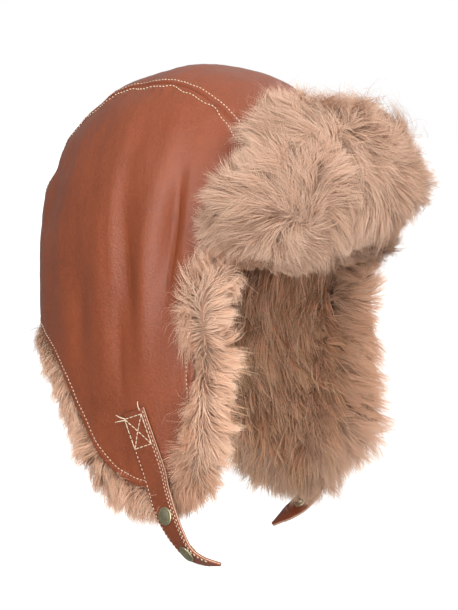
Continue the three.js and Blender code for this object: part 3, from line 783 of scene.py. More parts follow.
def make_piece(name, parts, materials, replaced=()):
    """Joins parts into one object in metres that rides on the hat."""
    starts = np.cumsum([0] + [len(p["points"]) for p in parts])
    corners, sizes, owners = [], [], []
    for p, start in zip(parts, starts):
        for f in p["faces"]:
            corners.append((f + start).ravel())
            sizes.append(np.full(len(f), f.shape[1]))
            owners.append(np.full(len(f), p["material"]))
    corners, sizes, owners = (np.concatenate(a).astype(np.int32) for a in (corners, sizes, owners))
    points = np.vstack([p["points"] for p in parts])
    mesh = bpy.data.meshes.new(name)
    mesh.vertices.add(len(points))
    mesh.vertices.foreach_set("co", (points * MM).astype(np.float32).ravel())
    mesh.loops.add(len(corners))
    mesh.loops.foreach_set("vertex_index", corners)
    mesh.polygons.add(len(sizes))
    loop_starts = np.concatenate([[0], np.cumsum(sizes)[:-1]]).astype(np.int32)
    mesh.polygons.foreach_set("loop_start", loop_starts)
    mesh.polygons.foreach_set("material_index", owners)
    mesh.update(calc_edges=True)
    mesh.polygons.foreach_set("use_smooth", np.ones(len(sizes), bool))
    for material in materials:
        mesh.materials.append(material)
    uv = np.vstack([p["uv"] for p in parts])
    if uv.any():
        layer = mesh.uv_layers.new(name=UV_NAME)
        layer.data.foreach_set("uv", uv[corners].astype(np.float32).ravel())
    normals = np.vstack([p["normals"] for p in parts])
    if normals.any():
        mesh.normals_split_custom_set_from_vertices(normals.tolist())
    piece = bpy.data.objects.new(name, mesh)
    bpy.context.scene.collection.objects.link(piece)
    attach(piece, "root")
    if replaced:
        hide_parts(*replaced)
    return piece


# Shaders


class Value:
    """A socket whose maths is written as Python."""

    def __init__(self, shader, socket):
        self.shader = shader
        self.socket = socket

    def maths(self, operation, *values):
        return self.shader.node("Math", {"operation": operation}, dict(enumerate(values)))[0]

    def __add__(self, other):
        return self.maths("ADD", self, other)

    def __radd__(self, other):
        return self.maths("ADD", other, self)

    def __sub__(self, other):
        return self.maths("SUBTRACT", self, other)

    def __rsub__(self, other):
        return self.maths("SUBTRACT", other, self)

    def __mul__(self, other):
        return self.maths("MULTIPLY", self, other)

    def __rmul__(self, other):
        return self.maths("MULTIPLY", other, self)


class Shader:
    """A material's node tree, written top down."""

    def __init__(self, name):
        self.material = bpy.data.materials.new(name)
        self.material.use_nodes = True
        self.tree = self.material.node_tree
        self.surface = self.tree.nodes["Principled BSDF"]

    def node(self, kind, settings=None, values=None):
        """Adds a node and gives its outputs, as a list."""
        node = self.tree.nodes.new("ShaderNode" + kind)
        for name, setting in (settings or {}).items():
            if name == "stops":
                self.set_stops(node.color_ramp, setting)
            else:
                setattr(node, name, setting)
        for key, value in (values or {}).items():
            self.put(node.inputs[key], value)
        return [Value(self, socket) for socket in node.outputs]

    def set_stops(self, ramp, stops):
        while len(ramp.elements) < len(stops):
            ramp.elements.new(1.0)
        for element, (place, colour) in zip(ramp.elements, stops):
            element.position = place
            element.color = (*colour[:3], 1)

    def put(self, socket, value):
        if isinstance(value, Value):
            self.tree.links.new(value.socket, socket)
        else:
            socket.default_value = value

    def ramp(self, value, *stops):
        return self.node("ValToRGB", {"stops": stops}, {0: value})[0]

    def mix(self, share, a, b, blend="MIX"):
        settings = {"data_type": "RGBA", "blend_type": blend}
        return self.node("Mix", settings, {0: share, 6: a, 7: b})[2]

    def spread(self, value, low, high, to_low=0.0, to_high=1.0):
        return self.node("MapRange", {}, {0: value, 1: low, 2: high, 3: to_low, 4: to_high})[0]

    def noise(self, place, size, detail=3.0, roughness=0.5):
        """A noise whose lumps are about size millimetres."""
        values = {"Vector": place, "Scale": 1 / (size * MM)}
        return self.node("TexNoise", {}, {**values, "Detail": detail, "Roughness": roughness})[0]

    def bump(self, height, strength, distance, under=None):
        values = {"Height": height, "Strength": strength, "Distance": distance * MM}
        if under is not None:
            values["Normal"] = under
        return self.node("Bump", {}, values)[0]

    def finish(self, **sockets):
        for name, value in sockets.items():
            self.put(self.surface.inputs[name.replace("_", " ")], value)
        return self.material


def tint(*rgb):
    """A linear colour with alpha from red, green and blue as a screen shows them, 0 to 255."""
    screen = np.array(rgb) / 255
    return (*np.where(screen < 0.04045, screen / 12.92, ((screen + 0.055) / 1.055) ** 2.4), 1.0)


def shade(colour, by):
    """A linear colour made lighter or darker, with alpha."""
    return (*(np.clip(np.array(colour[:3]) * by, 0, 1)), 1.0)


# Settings that a user would change

COLOUR = {"subtype": "COLOR", "size": 3, "min": 0, "max": 1}


class HatLeatherSettings(bpy.types.PropertyGroup):
    colour: bpy.props.FloatVectorProperty(
        name="Leather colour",
        description="Colour of the leather where it lies smooth",
        default=tint(137, 68, 38)[:3],
        **COLOUR,
    )
    crease: bpy.props.FloatVectorProperty(
        name="Crease colour",
        description="Colour that gathers in the folds and along the edges",
        default=tint(116, 57, 36)[:3],
        **COLOUR,
    )
    grain: bpy.props.FloatProperty(
        name="Grain size",
        description="Width of one pebble of the leather's grain",
        unit="LENGTH",
        default=0.0011,
    )
    stitch: bpy.props.FloatProperty(
        name="Stitch length",
        description="Distance from one stitch to the next",
        unit="LENGTH",
        default=0.0028,
    )
    thread: bpy.props.FloatProperty(
        name="Thread width",
        description="Thickness of the sewing thread",
        unit="LENGTH",
        default=0.00068,
    )
    thread_colour: bpy.props.FloatVectorProperty(
        name="Thread colour",
        description="Colour of the sewing thread",
        default=tint(236, 214, 186)[:3],
        **COLOUR,
    )
    metal_colour: bpy.props.FloatVectorProperty(
        name="Snap colour",
        description="Colour of the snaps' worn metal",
        default=tint(206, 196, 160)[:3],
        **COLOUR,
    )


class HatFurSettings(bpy.types.PropertyGroup):
    tip: bpy.props.FloatVectorProperty(
        name="Tip colour",
        description="Colour of the hairs at their tips",
        default=tint(236, 200, 174)[:3],
        **COLOUR,
    )
    middle: bpy.props.FloatVectorProperty(
        name="Middle colour",
        description="Colour of the hairs half way along",
        default=tint(220, 178, 150)[:3],
        **COLOUR,
    )
    root: bpy.props.FloatVectorProperty(
        name="Root colour",
        description="Colour of the hairs at their roots",
        default=tint(172, 130, 104)[:3],
        **COLOUR,
    )
    length: bpy.props.FloatProperty(
        name="Hair length",
        description="Length of the fur on the visor, which the other fur follows",
        unit="LENGTH",
        default=0.034,
    )
    width: bpy.props.FloatProperty(
        name="Hair width",
        description="Width of one strand of hair at its root",
        unit="LENGTH",
        default=0.0004,
    )
    density: bpy.props.FloatProperty(
        name="Density",
        description="Share of the full number of hairs",
        subtype="FACTOR",
        min=0.05,
        max=1,
        default=1,
    )


class HatStageSettings(bpy.types.PropertyGroup):
    distance: bpy.props.FloatProperty(
        name="Camera distance",
        description="Distance from the camera to the middle of the view",
        unit="LENGTH",
        default=1.6,
    )
    azimuth: bpy.props.FloatProperty(
        name="Camera azimuth",
        description="Direction of the camera round the hat, from straight ahead",
        subtype="ANGLE",
        default=np.radians(-50),
    )
    elevation: bpy.props.FloatProperty(
        name="Camera elevation",
        description="Height of the camera above the hat, as an angle",
        subtype="ANGLE",
        default=np.radians(7),
    )
    floor: bpy.props.FloatProperty(
        name="Floor clearance",
        description="Height of the strap tips over the floor, as the hat is held up",
        unit="LENGTH",
        default=0.45,
    )
    key: bpy.props.FloatProperty(
        name="Key light",
        description="Power of the large soft light over the camera",
        unit="POWER",
        default=16,
    )
    sky: bpy.props.FloatProperty(
        name="Room light",
        description="Brightness of the plain white room",
        min=0,
        default=0.95,
    )


# Leather


def leather_material(name, base, crease, grain):
    """Smooth-grained leather with pebbles, pores, faint scuffs and darker creases."""
    shader = Shader(name)
    place = shader.node("TexCoord")[3]
    broad = shader.noise(place, 42, 2)
    fine = shader.noise(place, 6, 4, 0.6)
    tone = shader.spread(broad * 0.65 + fine * 0.35, 0.35, 0.68)
    colour = shader.ramp(tone, (0.0, shade(base, 0.84)), (0.5, base), (1.0, shade(base, 1.12)))
    scuff = shader.spread(shader.noise(place, 11, 6, 0.7), 0.56, 0.72)
    colour = shader.mix(scuff * 0.22, colour, shade(base, 1.35))
    cells = {"Vector": place, "Scale": 1 / grain, "Randomness": 1.0}
    pores = shader.node("TexVoronoi", {"feature": "DISTANCE_TO_EDGE"}, cells)[0]
    valley = shader.spread(pores, 0.0, 0.16)
    colour = shader.mix((1 - valley) * 0.3, colour, crease)
    pebbles = shader.noise(place, 1.7, 4, 0.65)
    speck = shader.spread(pebbles, 0.36, 0.64)
    colour = shader.mix(speck * 0.36, colour, shade(base, 1.5))
    shallow = shader.bump(valley, 0.22, 0.12)
    rolling = shader.bump(shader.noise(place, 3.2, 3), 0.25, 0.35, shallow)
    normal = shader.bump(pebbles, 1.0, 0.42, rolling)
    rough = shader.spread(fine + pebbles * 0.4, 0.4, 0.95, 0.33, 0.5)
    return shader.finish(
        Base_Color=colour,
        Roughness=rough,
        Normal=normal,
        Coat_Weight=0.08,
        Coat_Roughness=0.3,
        IOR=1.5,
    )


def suede_material(base):
    """The rough inner side and cut edge of the leather."""
    shader = Shader("leather_flesh_side")
    place = shader.node("TexCoord")[3]
    nap = shader.noise(place, 1.2, 4, 0.7)
    colour = shader.ramp(nap, (0.3, shade(base, 0.75)), (0.7, shade(base, 1.15)))
    normal = shader.bump(nap, 0.4, 0.2)
    return shader.finish(Base_Color=colour, Roughness=0.9, Normal=normal)


def thread_material(colour):
    """Sewing thread, darker between its plies."""
    shader = Shader("sewing_thread")
    place = shader.node("TexCoord")[3]
    plies = shader.noise(place, 0.5, 2)
    tone = shader.ramp(plies, (0.3, shade(colour, 0.82)), (0.7, shade(colour, 1.06)))
    return shader.finish(Base_Color=tone, Roughness=0.75, Normal=shader.bump(plies, 0.3, 0.15))


def metal_material(colour):
    """Worn antique brass, darker and rougher where its patina holds."""
    shader = Shader("antique_brass")
    place = shader.node("TexCoord")[3]
    patina = shader.spread(shader.noise(place, 2.6, 5, 0.65), 0.38, 0.66)
    tone = shader.mix(patina, shade(colour, 0.62), shade(colour, 1.25))
    rough = shader.spread(patina, 0.0, 1.0, 0.5, 0.3)
    normal = shader.bump(shader.noise(place, 1.1, 4), 0.15, 0.1)
    return shader.finish(Base_Color=tone, Roughness=rough, Metallic=1.0, Normal=normal)


def seam_relief(distance, along):
    """The groove of a seam, the puffed leather beside it and the pull of its stitches."""
    groove = -1.1 * swell(distance, 0, 0.9)
    puff = 0.5 * swell(distance, 2.0, 1.3)
    pull = -0.35 * swell(distance, 3.6, 0.8)
    pucker = 0.32 * np.sin(along / 1.5 + 1.3 * np.sin(along / 9)) * swell(distance, 6.5, 3.5)
    wave = 0.35 * np.sin(along / 4.1 + 1.7 * np.sin(along / 17)) * swell(distance, 6, 6)
    return groove + puff + pull + pucker + wave


def hem_relief(distance, along):
    """The turned edge of the leather, pulled in by its row of stitches."""
    turned_under = -0.8 * swell(distance, 0, 1.3)
    pull = -0.45 * swell(distance, 5, 0.9)
    pucker = 0.28 * np.sin(along / 1.9 + 1.1 * np.sin(along / 11)) * swell(distance, 8, 3.5)
    return turned_under + pull + pucker


def skin_relief(p):
    """The unevenness of soft leather over fur."""
    tall = p * [1, 1, 0.35]
    soft = 0.6 * ripple(tall, 24, 3) + 0.2 * ripple(tall, 11, 4) + 0.1 * ripple(p, 5, 5)
    return soft + 1.3 * fold_at(p, CREASES)


def distance_to(grid, line):
    """Distances of a grid's points from a line of points, and how far along it they lie."""
    found = nearest(line, grid.reshape(-1, 3))
    owner, distance = (values.reshape(grid.shape[:2]) for values in found)
    return distance, lengths_along(line)[owner]


def graded(count):
    """Shares from 0 to 1, closer together at both ends."""
    t = np.linspace(0, 1, count)
    return t - np.sin(2 * np.pi * t) / (2 * np.pi) * 0.9


def seam_line(side):
    """The seam between the middle panel and one side panel, as a fine polyline."""
    return on_rib(-side * (STRIP_HALF + SEAM_GAP / 2), np.linspace(0, 1, 1500))


def hem_line(side):
    """The edge of one side panel, as a fine polyline."""
    return flap_edge(side)(np.linspace(0, 1, 1500))


def side_panel(side):
    """One side of the crown with its ear flap, from the seam down to the hem."""
    wide, high = (200, 58) if side > 0 else (140, 50)
    inset = 0.006
    along = np.linspace(inset, 1 - inset, wide)
    angle, z, seam_share = flap_outline(side)(along)
    foot = on_wall(angle, z)
    seam = on_rib(-side * (STRIP_HALF + SEAM_GAP / 2), seam_share)
    shares = graded(high)[None, :, None]
    grid = on_crown(seam[:, None] * (1 - shares) + foot[:, None] * shares)
    grid[:, 0], grid[:, -1] = seam, foot
    relief = seam_relief(*distance_to(grid, seam_line(side)))
    relief = relief + hem_relief(*distance_to(grid, hem_line(side))) + skin_relief(grid)
    return wall(skin(grid, relief), skin(grid, -LEATHER), 0.5)


def crown_strip():
    """The middle panel, from the brow over the top to the nape."""
    half = STRIP_HALF - SEAM_GAP / 2
    x = half * (2 * graded(44)[None, :] - 1)
    grid = on_rib(x, np.linspace(0, 1, 130)[:, None])
    down = np.stack([lengths_along(row) for row in grid])
    beside = lengths_along(grid[:, 0])[:, None]
    relief = seam_relief(down, beside) + seam_relief(down[:, -1:] - down, beside + 5)
    relief = relief + skin_relief(grid)
    return wall(skin(grid, relief), skin(grid, -LEATHER), 0.4)


def visor_leather():
    """The visor's leather, turned up in front of the crown."""
    across = np.linspace(1, -1, 90)[:, None]
    z = np.linspace(VISOR["z"][0], VISOR["z"][-1], 34)[None, :]
    across, z = np.broadcast_arrays(across, z)
    face = on_visor(across, z, 0.0)
    uneven = (0.35 * ripple(face, 30, 8) + 0.12 * ripple(face, 9, 9))[..., None]
    normal = unit(on_visor(across, z, 1.0) - face)
    return wall(face + normal * (LEATHER + uneven), face + normal * uneven, 0.5)


# Stitching

# The two rows beside a seam: how far off it each lies, and how much it wavers
SEAM_ROWS = ((-3.4, 0.15), (3.7, 0.85))


def stitches(path, lift, pitch, width, dash=0.58):
    """A row of stitches along a polyline, each a short thread whose ends dip in."""
    spots = evenly(path, pitch)
    start = spots[:-1]
    step = spots[1:] - start
    way = unit(step)
    up = unit(lift[np.linspace(0, len(lift) - 1, len(start)).astype(int)])
    across = unit(np.cross(way, up))
    up = np.cross(across, way)
    places = 0.5 + dash * np.array([-0.5, -0.3, 0.3, 0.5])
    thick = np.array([0.45, 1.0, 1.0, 0.45]) * width / 2
    high = np.array([-0.2, 0.35, 0.35, -0.2]) * width
    centre = start[:, None] + step[:, None] * places[:, None] + up[:, None] * high[:, None]
    points = centre[:, :, None] + circle(across, up, THREAD_SIDES)[:, None] * thick[:, None, None]
    count, rings, sides = points.shape[:3]
    one = grid_faces(rings, sides, around=True)
    ends = np.stack([np.arange(sides)[::-1], (rings - 1) * sides + np.arange(sides)])
    shift = (np.arange(count) * rings * sides)[:, None, None]
    return part(points, [(one + shift).reshape(-1, 4), (ends[:, ::-1] + shift).reshape(-1, sides)])


def thread_end(path, width):
    """A loose end of thread as a thin tapered tube."""
    path = evenly(np.asarray(path, float), 1.0)
    on = unit(np.gradient(path, axis=0))
    across = unit(np.cross(on, [0.3, 0.9, 0.2]))
    thick = width / 2 * np.linspace(1, 0.6, len(path))[:, None, None]
    return loft(path[:, None] + circle(across, np.cross(on, across), THREAD_SIDES) * thick)


def seam_rows(side, pitch, width):
    """The two rows of stitches beside one seam of the crown."""
    along = np.linspace(0.012, 0.988, 320)
    made = []
    for distance, waver in SEAM_ROWS:
        x = STRIP_HALF + distance * 0.93
        x = x + waver * (np.sin(along * 61) + 0.7 * np.sin(along * 143 + 1))
        p = on_rib(-side * x, along)[:, None]
        off, on = distance_to(p, seam_line(side))
        relief = seam_relief(off, on + (5 if side < 0 and distance < 0 else 0)) + skin_relief(p)
        made.append(stitches(skin(p, relief + 0.1)[:, 0], outward(p)[:, 0], pitch, width))
    return made


def hem_row(side, pitch, width):
    """The row of stitches 5 mm inside the edge of one flap."""
    along = np.linspace(0.03, 0.975, 520)
    edge_at = edge_frame(flap_edge(side), along, side)
    inset = 5 + 0.25 * np.sin(along * 90)
    p = on_crown(edge_at["base"] - edge_at["out"] * inset[:, None])[:, None]
    relief = hem_relief(*distance_to(p, hem_line(side))) + skin_relief(p)
    return stitches(skin(p, relief + 0.1)[:, 0], outward(p)[:, 0], pitch, width)


# Straps and snaps

# Layers of a strap, from its face down: its foot and top off the middle of the strap, how far
# its edges at the front and the back lie in, and whether it is leather (0) or the core (1)
STRAP_LAYERS = (
    (0.1, 1.15, (0, 0), 0),
    (-0.24, 0.24, (-0.2, 0.5), 1),
    (-1.1, -0.1, (0.1, 0.1), 0),
)


def strap_layers(run):
    """Two layers of leather with a pale line of glue and felt between their edges."""
    place, across, out, half = run(np.linspace(0, STRAP_ROWS, 110))
    made = []
    for low, high, insets, material in STRAP_LAYERS:
        bevel = min(0.35, (high - low) / 3)
        section = [
            (-1, -bevel, high),
            (-1, 0, high - bevel),
            (-1, 0, low + bevel),
            (-1, -bevel, low),
            (1, -bevel, low),
            (1, 0, low + bevel),
            (1, 0, high - bevel),
            (1, -bevel, high),
        ]
        rings = np.stack(
            [
                place + across * (sign * (half - insets[sign > 0] + edge))[:, None] + out * lift
                for sign, edge, lift in section
            ],
            axis=1,
        )
        spread = np.linspace(-1, 1, 7)[1:-1]
        top = place[:, None] + across[:, None] * ((half - insets[0])[:, None] * spread)[..., None]
        puffed = (high + 0.12 * (1 - spread**2))[None, :, None]
        rings = np.concatenate([rings, (top + out[:, None] * puffed)[:, ::-1]], axis=1)
        made.append(loft(rings, material))
    return made


def strap_point(run, row, share, lift):
    """Points lifted off the middle of a strap, share from -1 to 1 across it."""
    place, across, out, half = run(row)
    return place + across * (half * share)[..., None] + out * lift


def strap_threads(run, pitch, width):
    """Edge stitches, the crossed box at the top and its loose ends."""
    made = []
    for share, start in ((0.86, 0.2), (-0.72, 0.2), (-0.92, 0.1)):
        rows = np.linspace(start, 8.4, 200)
        path = strap_point(run, rows, share, STRAP_THICK / 2 + 0.1)
        made.append(stitches(path, run(rows)[2], pitch, width * 0.8))
    top, foot = 0.26, 1.62
    corners = [(top, 0.84), (top, -0.74), (foot, -0.74), (foot, 0.84)]
    lines = [(0, 1), (2, 3), (0, 2), (1, 3), (0, 3), (1, 2)]
    for nth, (a, b) in enumerate(lines):
        share = np.linspace(0, 1, 40)
        rows = corners[a][0] + (corners[b][0] - corners[a][0]) * share
        sides = corners[a][1] + (corners[b][1] - corners[a][1]) * share
        path = strap_point(run, rows, sides, STRAP_THICK / 2 + 0.2 + 0.12 * (nth % 3))
        made.append(stitches(path, run(rows)[2], pitch * 1.1, width, 0.84))
    loose_ends = columns(
        "row share down aside",
        (0.25, 0.8, -0.5, 0.62),
        (0.3, 0.8, -0.1, 0.9),
        (0.1, -0.7, -0.7, -0.15),
    )
    for row, share, down, aside in zip(*loose_ends.values()):
        place, across, out, _ = run(np.array([row, row + 0.01]))
        on = unit(place[1] - place[0])
        start = strap_point(run, np.array([row]), share, STRAP_THICK / 2 + 0.3)[0]
        steps = np.linspace(0, 1, 6)[:, None]
        way = on * down * STRAP_HALF_WIDTH + across[0] * aside * STRAP_HALF_WIDTH
        arch = out[0] * 1.4 * np.sin(np.pi * steps * 0.8)
        made.append(thread_end(start + way * steps + arch, width * 1.3))
    return made


def snap(run, row):
    """A domed cap with a rolled rim outside, a post, and a socket ring inside."""
    place, _, out, _ = (a[0] for a in run(np.array([float(row)])))
    half = STRAP_THICK / 2
    cap = [
        (0, half + 2.25),
        (1.6, half + 2.22),
        (3.1, half + 2.08),
        (4.3, half + 1.8),
        (4.9, half + 1.58),
        (5.2, half + 1.62),
        (5.7, half + 1.55),
        (6.1, half + 1.15),
        (SNAP_RADIUS, half + 0.7),
        (6.0, half + 0.2),
        (1.9, half + 0.1),
        (1.9, -half),
        (4.7, -half - 0.1),
        (5.1, -half - 0.6),
        (5.0, -half - 1.5),
        (4.4, -half - 2.0),
        (3.6, -half - 1.9),
        (3.2, -half - 1.1),
        (2.2, -half - 1.0),
        (1.9, -half - 2.3),
        (1.2, -half - 2.7),
        (0, -half - 2.75),
    ]
    return revolve(cap, place, out)


# Fur

# How a coat of fur lies: the spacing of its wisps and locks and how strongly they draw together,
# how far its hairs stand, hang and stray, and how much tone and width vary
COAT = {
    "wisp": 2.7,
    "lock": 8.0,
    "unruly": 1.0,
    "lift": 0.28,
    "droop": 0.05,
    "lock_pull": 0.4,
    "pull": 0.55,
    "stray": 0.07,
    "astray": 0.6,
    "farthest": 1.3,
    "steps": 3,
    "patch": 22,
    "contrast": 1.0,
    "streak": 0.06,
    "width": 1.0,
}
VISOR_COAT = {
    **COAT,
    "lock": 9.5,
    "unruly": 0.85,
    "lock_pull": 0.38,
    "pull": 0.45,
    "farthest": 1.15,
    "width": 0.88,
}
EDGE_COAT = {
    **COAT,
    "wisp": 3.0,
    "lock": 9.0,
    "unruly": 0.85,
    "lift": 0.3,
    "lock_pull": 0.32,
    "stray": 0.1,
    "astray": 0.75,
    "farthest": 1.2,
    "contrast": 1.2,
}
LINING_COAT = {
    **COAT,
    "wisp": 2.2,
    "unruly": 0.3,
    "lift": 0.14,
    "droop": 0,
    "lock_pull": 0.15,
    "pull": 0.5,
    "stray": 0.1,
    "astray": 0.25,
    "contrast": 2.4,
    "streak": 0.5,
}

# The most hairs of each piece and the seed of their draws, with what else is its own
VISOR_HAIR = {"hairs": 37500, "seed": 11}
EDGE_HAIR = {
    "right": {"hairs": 36500, "seed": 31, "pull": 0.45},
    "left": {"hairs": 30000, "seed": 37, "pull": 0.55},
    "nape": {"hairs": 7600, "seed": 43, "pull": 0.55},
}
LINING_HAIR = {
    "crown_lining": {"hairs": 9000, "seed": 53, "width": 2.2},
    "flap_lining_right": {"hairs": 6000, "seed": 59, "width": 2.0},
    "flap_lining_left": {"hairs": 17000, "seed": 61, "width": 2.0},
}


class Ground:
    """A grid of points that hair is rooted on, with its ways out."""

    def __init__(self, points, inside):
        self.points = points
        u = np.gradient(points, axis=0)
        v = np.gradient(points, axis=1)
        self.normals = unit(np.cross(u, v))
        if np.mean(np.sum(self.normals * (points - inside), axis=-1)) < 0:
            self.normals = -self.normals
        a = points[1:, 1:] - points[:-1, :-1]
        b = points[1:, :-1] - points[:-1, 1:]
        self.cells = np.linalg.norm(np.cross(a, b), axis=-1) / 2
        self.area = self.cells.sum()

    def scatter(self, count, rng, weight=None):
        """Random roots, even over the area: points, normals and places on the grid."""
        share = self.cells if weight is None else self.cells * weight
        share = np.cumsum(share.ravel())
        cell = np.searchsorted(share, rng.uniform(0, share[-1], count))
        i, j = np.unravel_index(np.minimum(cell, len(share) - 1), self.cells.shape)
        u, v = rng.uniform(0, 1, (2, count))

        def blend(corners):
            return (
                corners[i, j] * ((1 - u) * (1 - v))[:, None]
                + corners[i + 1, j] * (u * (1 - v))[:, None]
                + corners[i, j + 1] * ((1 - u) * v)[:, None]
                + corners[i + 1, j + 1] * (u * v)[:, None]
            )

        return blend(self.points), unit(blend(self.normals)), np.stack([i + u, j + v], axis=-1)


def ribbons(paths, normals, width, tones, rng):
    """Thin tapering ribbons along paths, their faces turned outwards."""
    count, rings = paths.shape[:2]
    on = unit(np.gradient(paths, axis=1))
    flat = unit(np.cross(on, normals[:, None]))
    tall = np.cross(on, flat)
    turn = rng.uniform(-0.95, 0.95, count)[:, None, None]
    side = flat * np.cos(turn) + tall * np.sin(turn)
    face = np.cross(side, on)
    taper = np.array([1.0, 0.95, 0.62, 0.4][: rings - 1])
    half = side[:, :-1] * (width[:, None] * taper / 2)[..., None]
    pairs = np.stack([paths[:, :-1] - half, paths[:, :-1] + half], axis=2)
    points = np.concatenate([pairs.reshape(count, -1, 3), paths[:, -1:]], axis=1)
    size = points.shape[1]
    soft = 0.75 * normals[:, None] + 0.5 * face
    splay = np.stack([soft - 0.35 * side, soft + 0.35 * side], axis=2)[:, :-1]
    bent = np.concatenate([splay.reshape(count, -1, 3), soft[:, -1:]], axis=1)
    first = (np.arange(count) * size)[:, None]
    quads = [first + np.array([2 * k, 2 * k + 1, 2 * k + 3, 2 * k + 2]) for k in range(rings - 2)]
    tips = first + np.array([size - 3, size - 2, size - 1])
    along = np.concatenate([np.repeat(np.arange(rings - 1), 2), [rings - 1]]) / (rings - 1)
    uv = np.stack(np.broadcast_arrays(tones[:, None], along[None, :]), axis=-1)
    return part(points, [np.concatenate(quads), tips], uv=uv, normals=unit(bent))


class Strands:
    """Hairs at one scale: their roots, ways out and places on the ground, and how each grows."""

    def __init__(self, ground, count, rng, weight):
        self.roots, self.normals, self.places = ground.scatter(count, rng, weight)
        self.count = count
        self.turn, self.bend, self.long, self.lift, self.tone = np.zeros((5, count))

    def follow(self, others, rng, **spread):
        """Takes after the nearest of the coarser strands, with a spread of its own."""
        self.owner = nearest(others.roots, self.roots)[0]
        for name, amount in spread.items():
            kept = getattr(others, name)[self.owner]
            setattr(self, name, kept + rng.normal(0, amount, self.count))

    def gather(self, others, apart, pull):
        """Draws the strands towards the ones they follow, most of all at their tips."""
        away = np.linalg.norm(self.roots - others.roots[self.owner], axis=-1)
        near = np.clip(1.7 - away / apart, 0.1, 1)[:, None, None]
        steps = np.linspace(0, 1, self.paths.shape[1])[None, :, None] ** 1.3
        hold = np.reshape(pull, (-1, 1, 1)) * near * steps
        self.paths = self.paths + (others.paths[self.owner] - self.paths) * hold


def grow(ground, count, seed, coat, ways, weight=None):
    """A coat of hair over a ground, combed, and gathered in wisps and in locks of wisps.

    The ways are functions of the roots: how they are combed and how long they are, and where
    it differs over the ground, how loosely they lie, how pale they are and where they settle.
    """
    fur = bpy.context.scene.hat_fur
    count = int(count * fur.density)
    rng = np.random.default_rng(seed)
    locks = Strands(ground, max(4, int(ground.area / coat["lock"] ** 2)), rng, weight)
    wisps = Strands(ground, max(4, int(ground.area / coat["wisp"] ** 2)), rng, weight)
    hairs = Strands(ground, count, rng, weight)
    unruly, contrast = coat["unruly"], coat["contrast"]
    locks.turn = rng.normal(0, 0.3 * unruly, locks.count)
    locks.turn += 0.4 * unruly * ripple(locks.roots, 34, seed + 1)
    locks.turn += 0.3 * unruly * ripple(locks.roots, 13, seed + 3)
    locks.bend = rng.normal(0, 0.2, locks.count)
    locks.long = rng.normal(1, 0.1, locks.count)
    locks.lift = rng.normal(coat["lift"], 0.07, locks.count)
    locks.tone = rng.normal(0.5, 0.05 * contrast, locks.count)
    wisp_spread = {"turn": 0.2 * unruly, "bend": 0.14, "long": 0.1, "lift": 0.06}
    wisps.follow(locks, rng, **wisp_spread, tone=coat["streak"])
    hair_spread = {"turn": 0.05 + 0.08 * unruly, "bend": 0.07, "long": 0.07, "lift": 0.05}
    hairs.follow(wisps, rng, **hair_spread, tone=0.11 * contrast)
    stray = rng.uniform(size=count) < coat["stray"]
    hairs.turn += stray * rng.normal(0, coat["astray"], count)
    hairs.lift += stray * rng.uniform(0, 0.65 * coat["astray"], count)
    hairs.tone += 0.15 * stray
    astray_long = rng.uniform(0.85, coat["farthest"], count)
    hairs.long *= np.where(stray, astray_long, rng.uniform(0.8, 1.03, count))
    steps = np.linspace(0, 1, coat["steps"] + 1)[None, :, None]
    for strands in (locks, wisps, hairs):
        n, at = strands.normals, strands.places
        long = ways["length"](strands.roots, at) * np.clip(strands.long, 0.5, 1.4)
        turn = strands.turn * (ways["loose"](strands.roots, at) if "loose" in ways else 1)
        comb = turned(flattened(ways["comb"](strands.roots, n, at), n), n, turn)
        ahead = strands.roots + comb * (0.6 * long)[:, None]
        later = turned(flattened(ways["comb"](ahead, n, at), n), n, turn)
        side = np.cross(n, comb)
        lift = np.clip(strands.lift, 0.08, 0.95)[:, None, None]
        path = n[:, None] * (lift * (1.9 * steps - 1.1 * steps**2))
        path = path + comb[:, None] * ((1 - 0.7 * lift) * (0.45 * steps + 0.1 * steps**2))
        path = path + later[:, None] * ((1 - 0.7 * lift) * (0.45 * steps**2))
        path = path + side[:, None] * (strands.bend[:, None, None] * steps**2)
        path = path - UP * (coat["droop"] * steps**2)
        strands.paths = strands.roots[:, None] + path * long[:, None, None]
    wisps.gather(locks, coat["lock"], coat["lock_pull"])
    pull = coat["pull"] * rng.uniform(0.6, 1.1, count)
    hairs.gather(wisps, coat["wisp"], np.where(stray, 0.05, pull))
    paths = ways["settle"](hairs.paths, hairs.places) if "settle" in ways else hairs.paths
    tone = hairs.tone + 0.1 * ripple(hairs.roots, coat["patch"], seed + 2)
    tone = tone + ways["tone"](hairs.roots) if "tone" in ways else tone
    width = fur.width / MM * coat["width"] * rng.uniform(0.7, 1.25, count)
    width = width * np.where(stray, 0.55, 1)
    return ribbons(paths, hairs.normals, width, np.clip(tone, 0.02, 0.98), rng)


def underfur(ground):
    """The dense fur under the hairs, as a rough felt on the ground itself."""
    points = ground.points + ground.normals * (0.5 * ripple(ground.points, 5, 6))[..., None]
    high, wide = points.shape[:2]
    faces = grid_faces(high, wide)
    corner = points.reshape(-1, 3)[faces[0]]
    normal = np.cross(corner[1] - corner[0], corner[2] - corner[0])
    flip = normal @ ground.normals.reshape(-1, 3)[faces[0][0]] < 0
    uv = np.full((high, wide, 2), [0.45, 0.3])
    return part(points, [faces[:, ::-1] if flip else faces], uv=uv, normals=ground.normals)


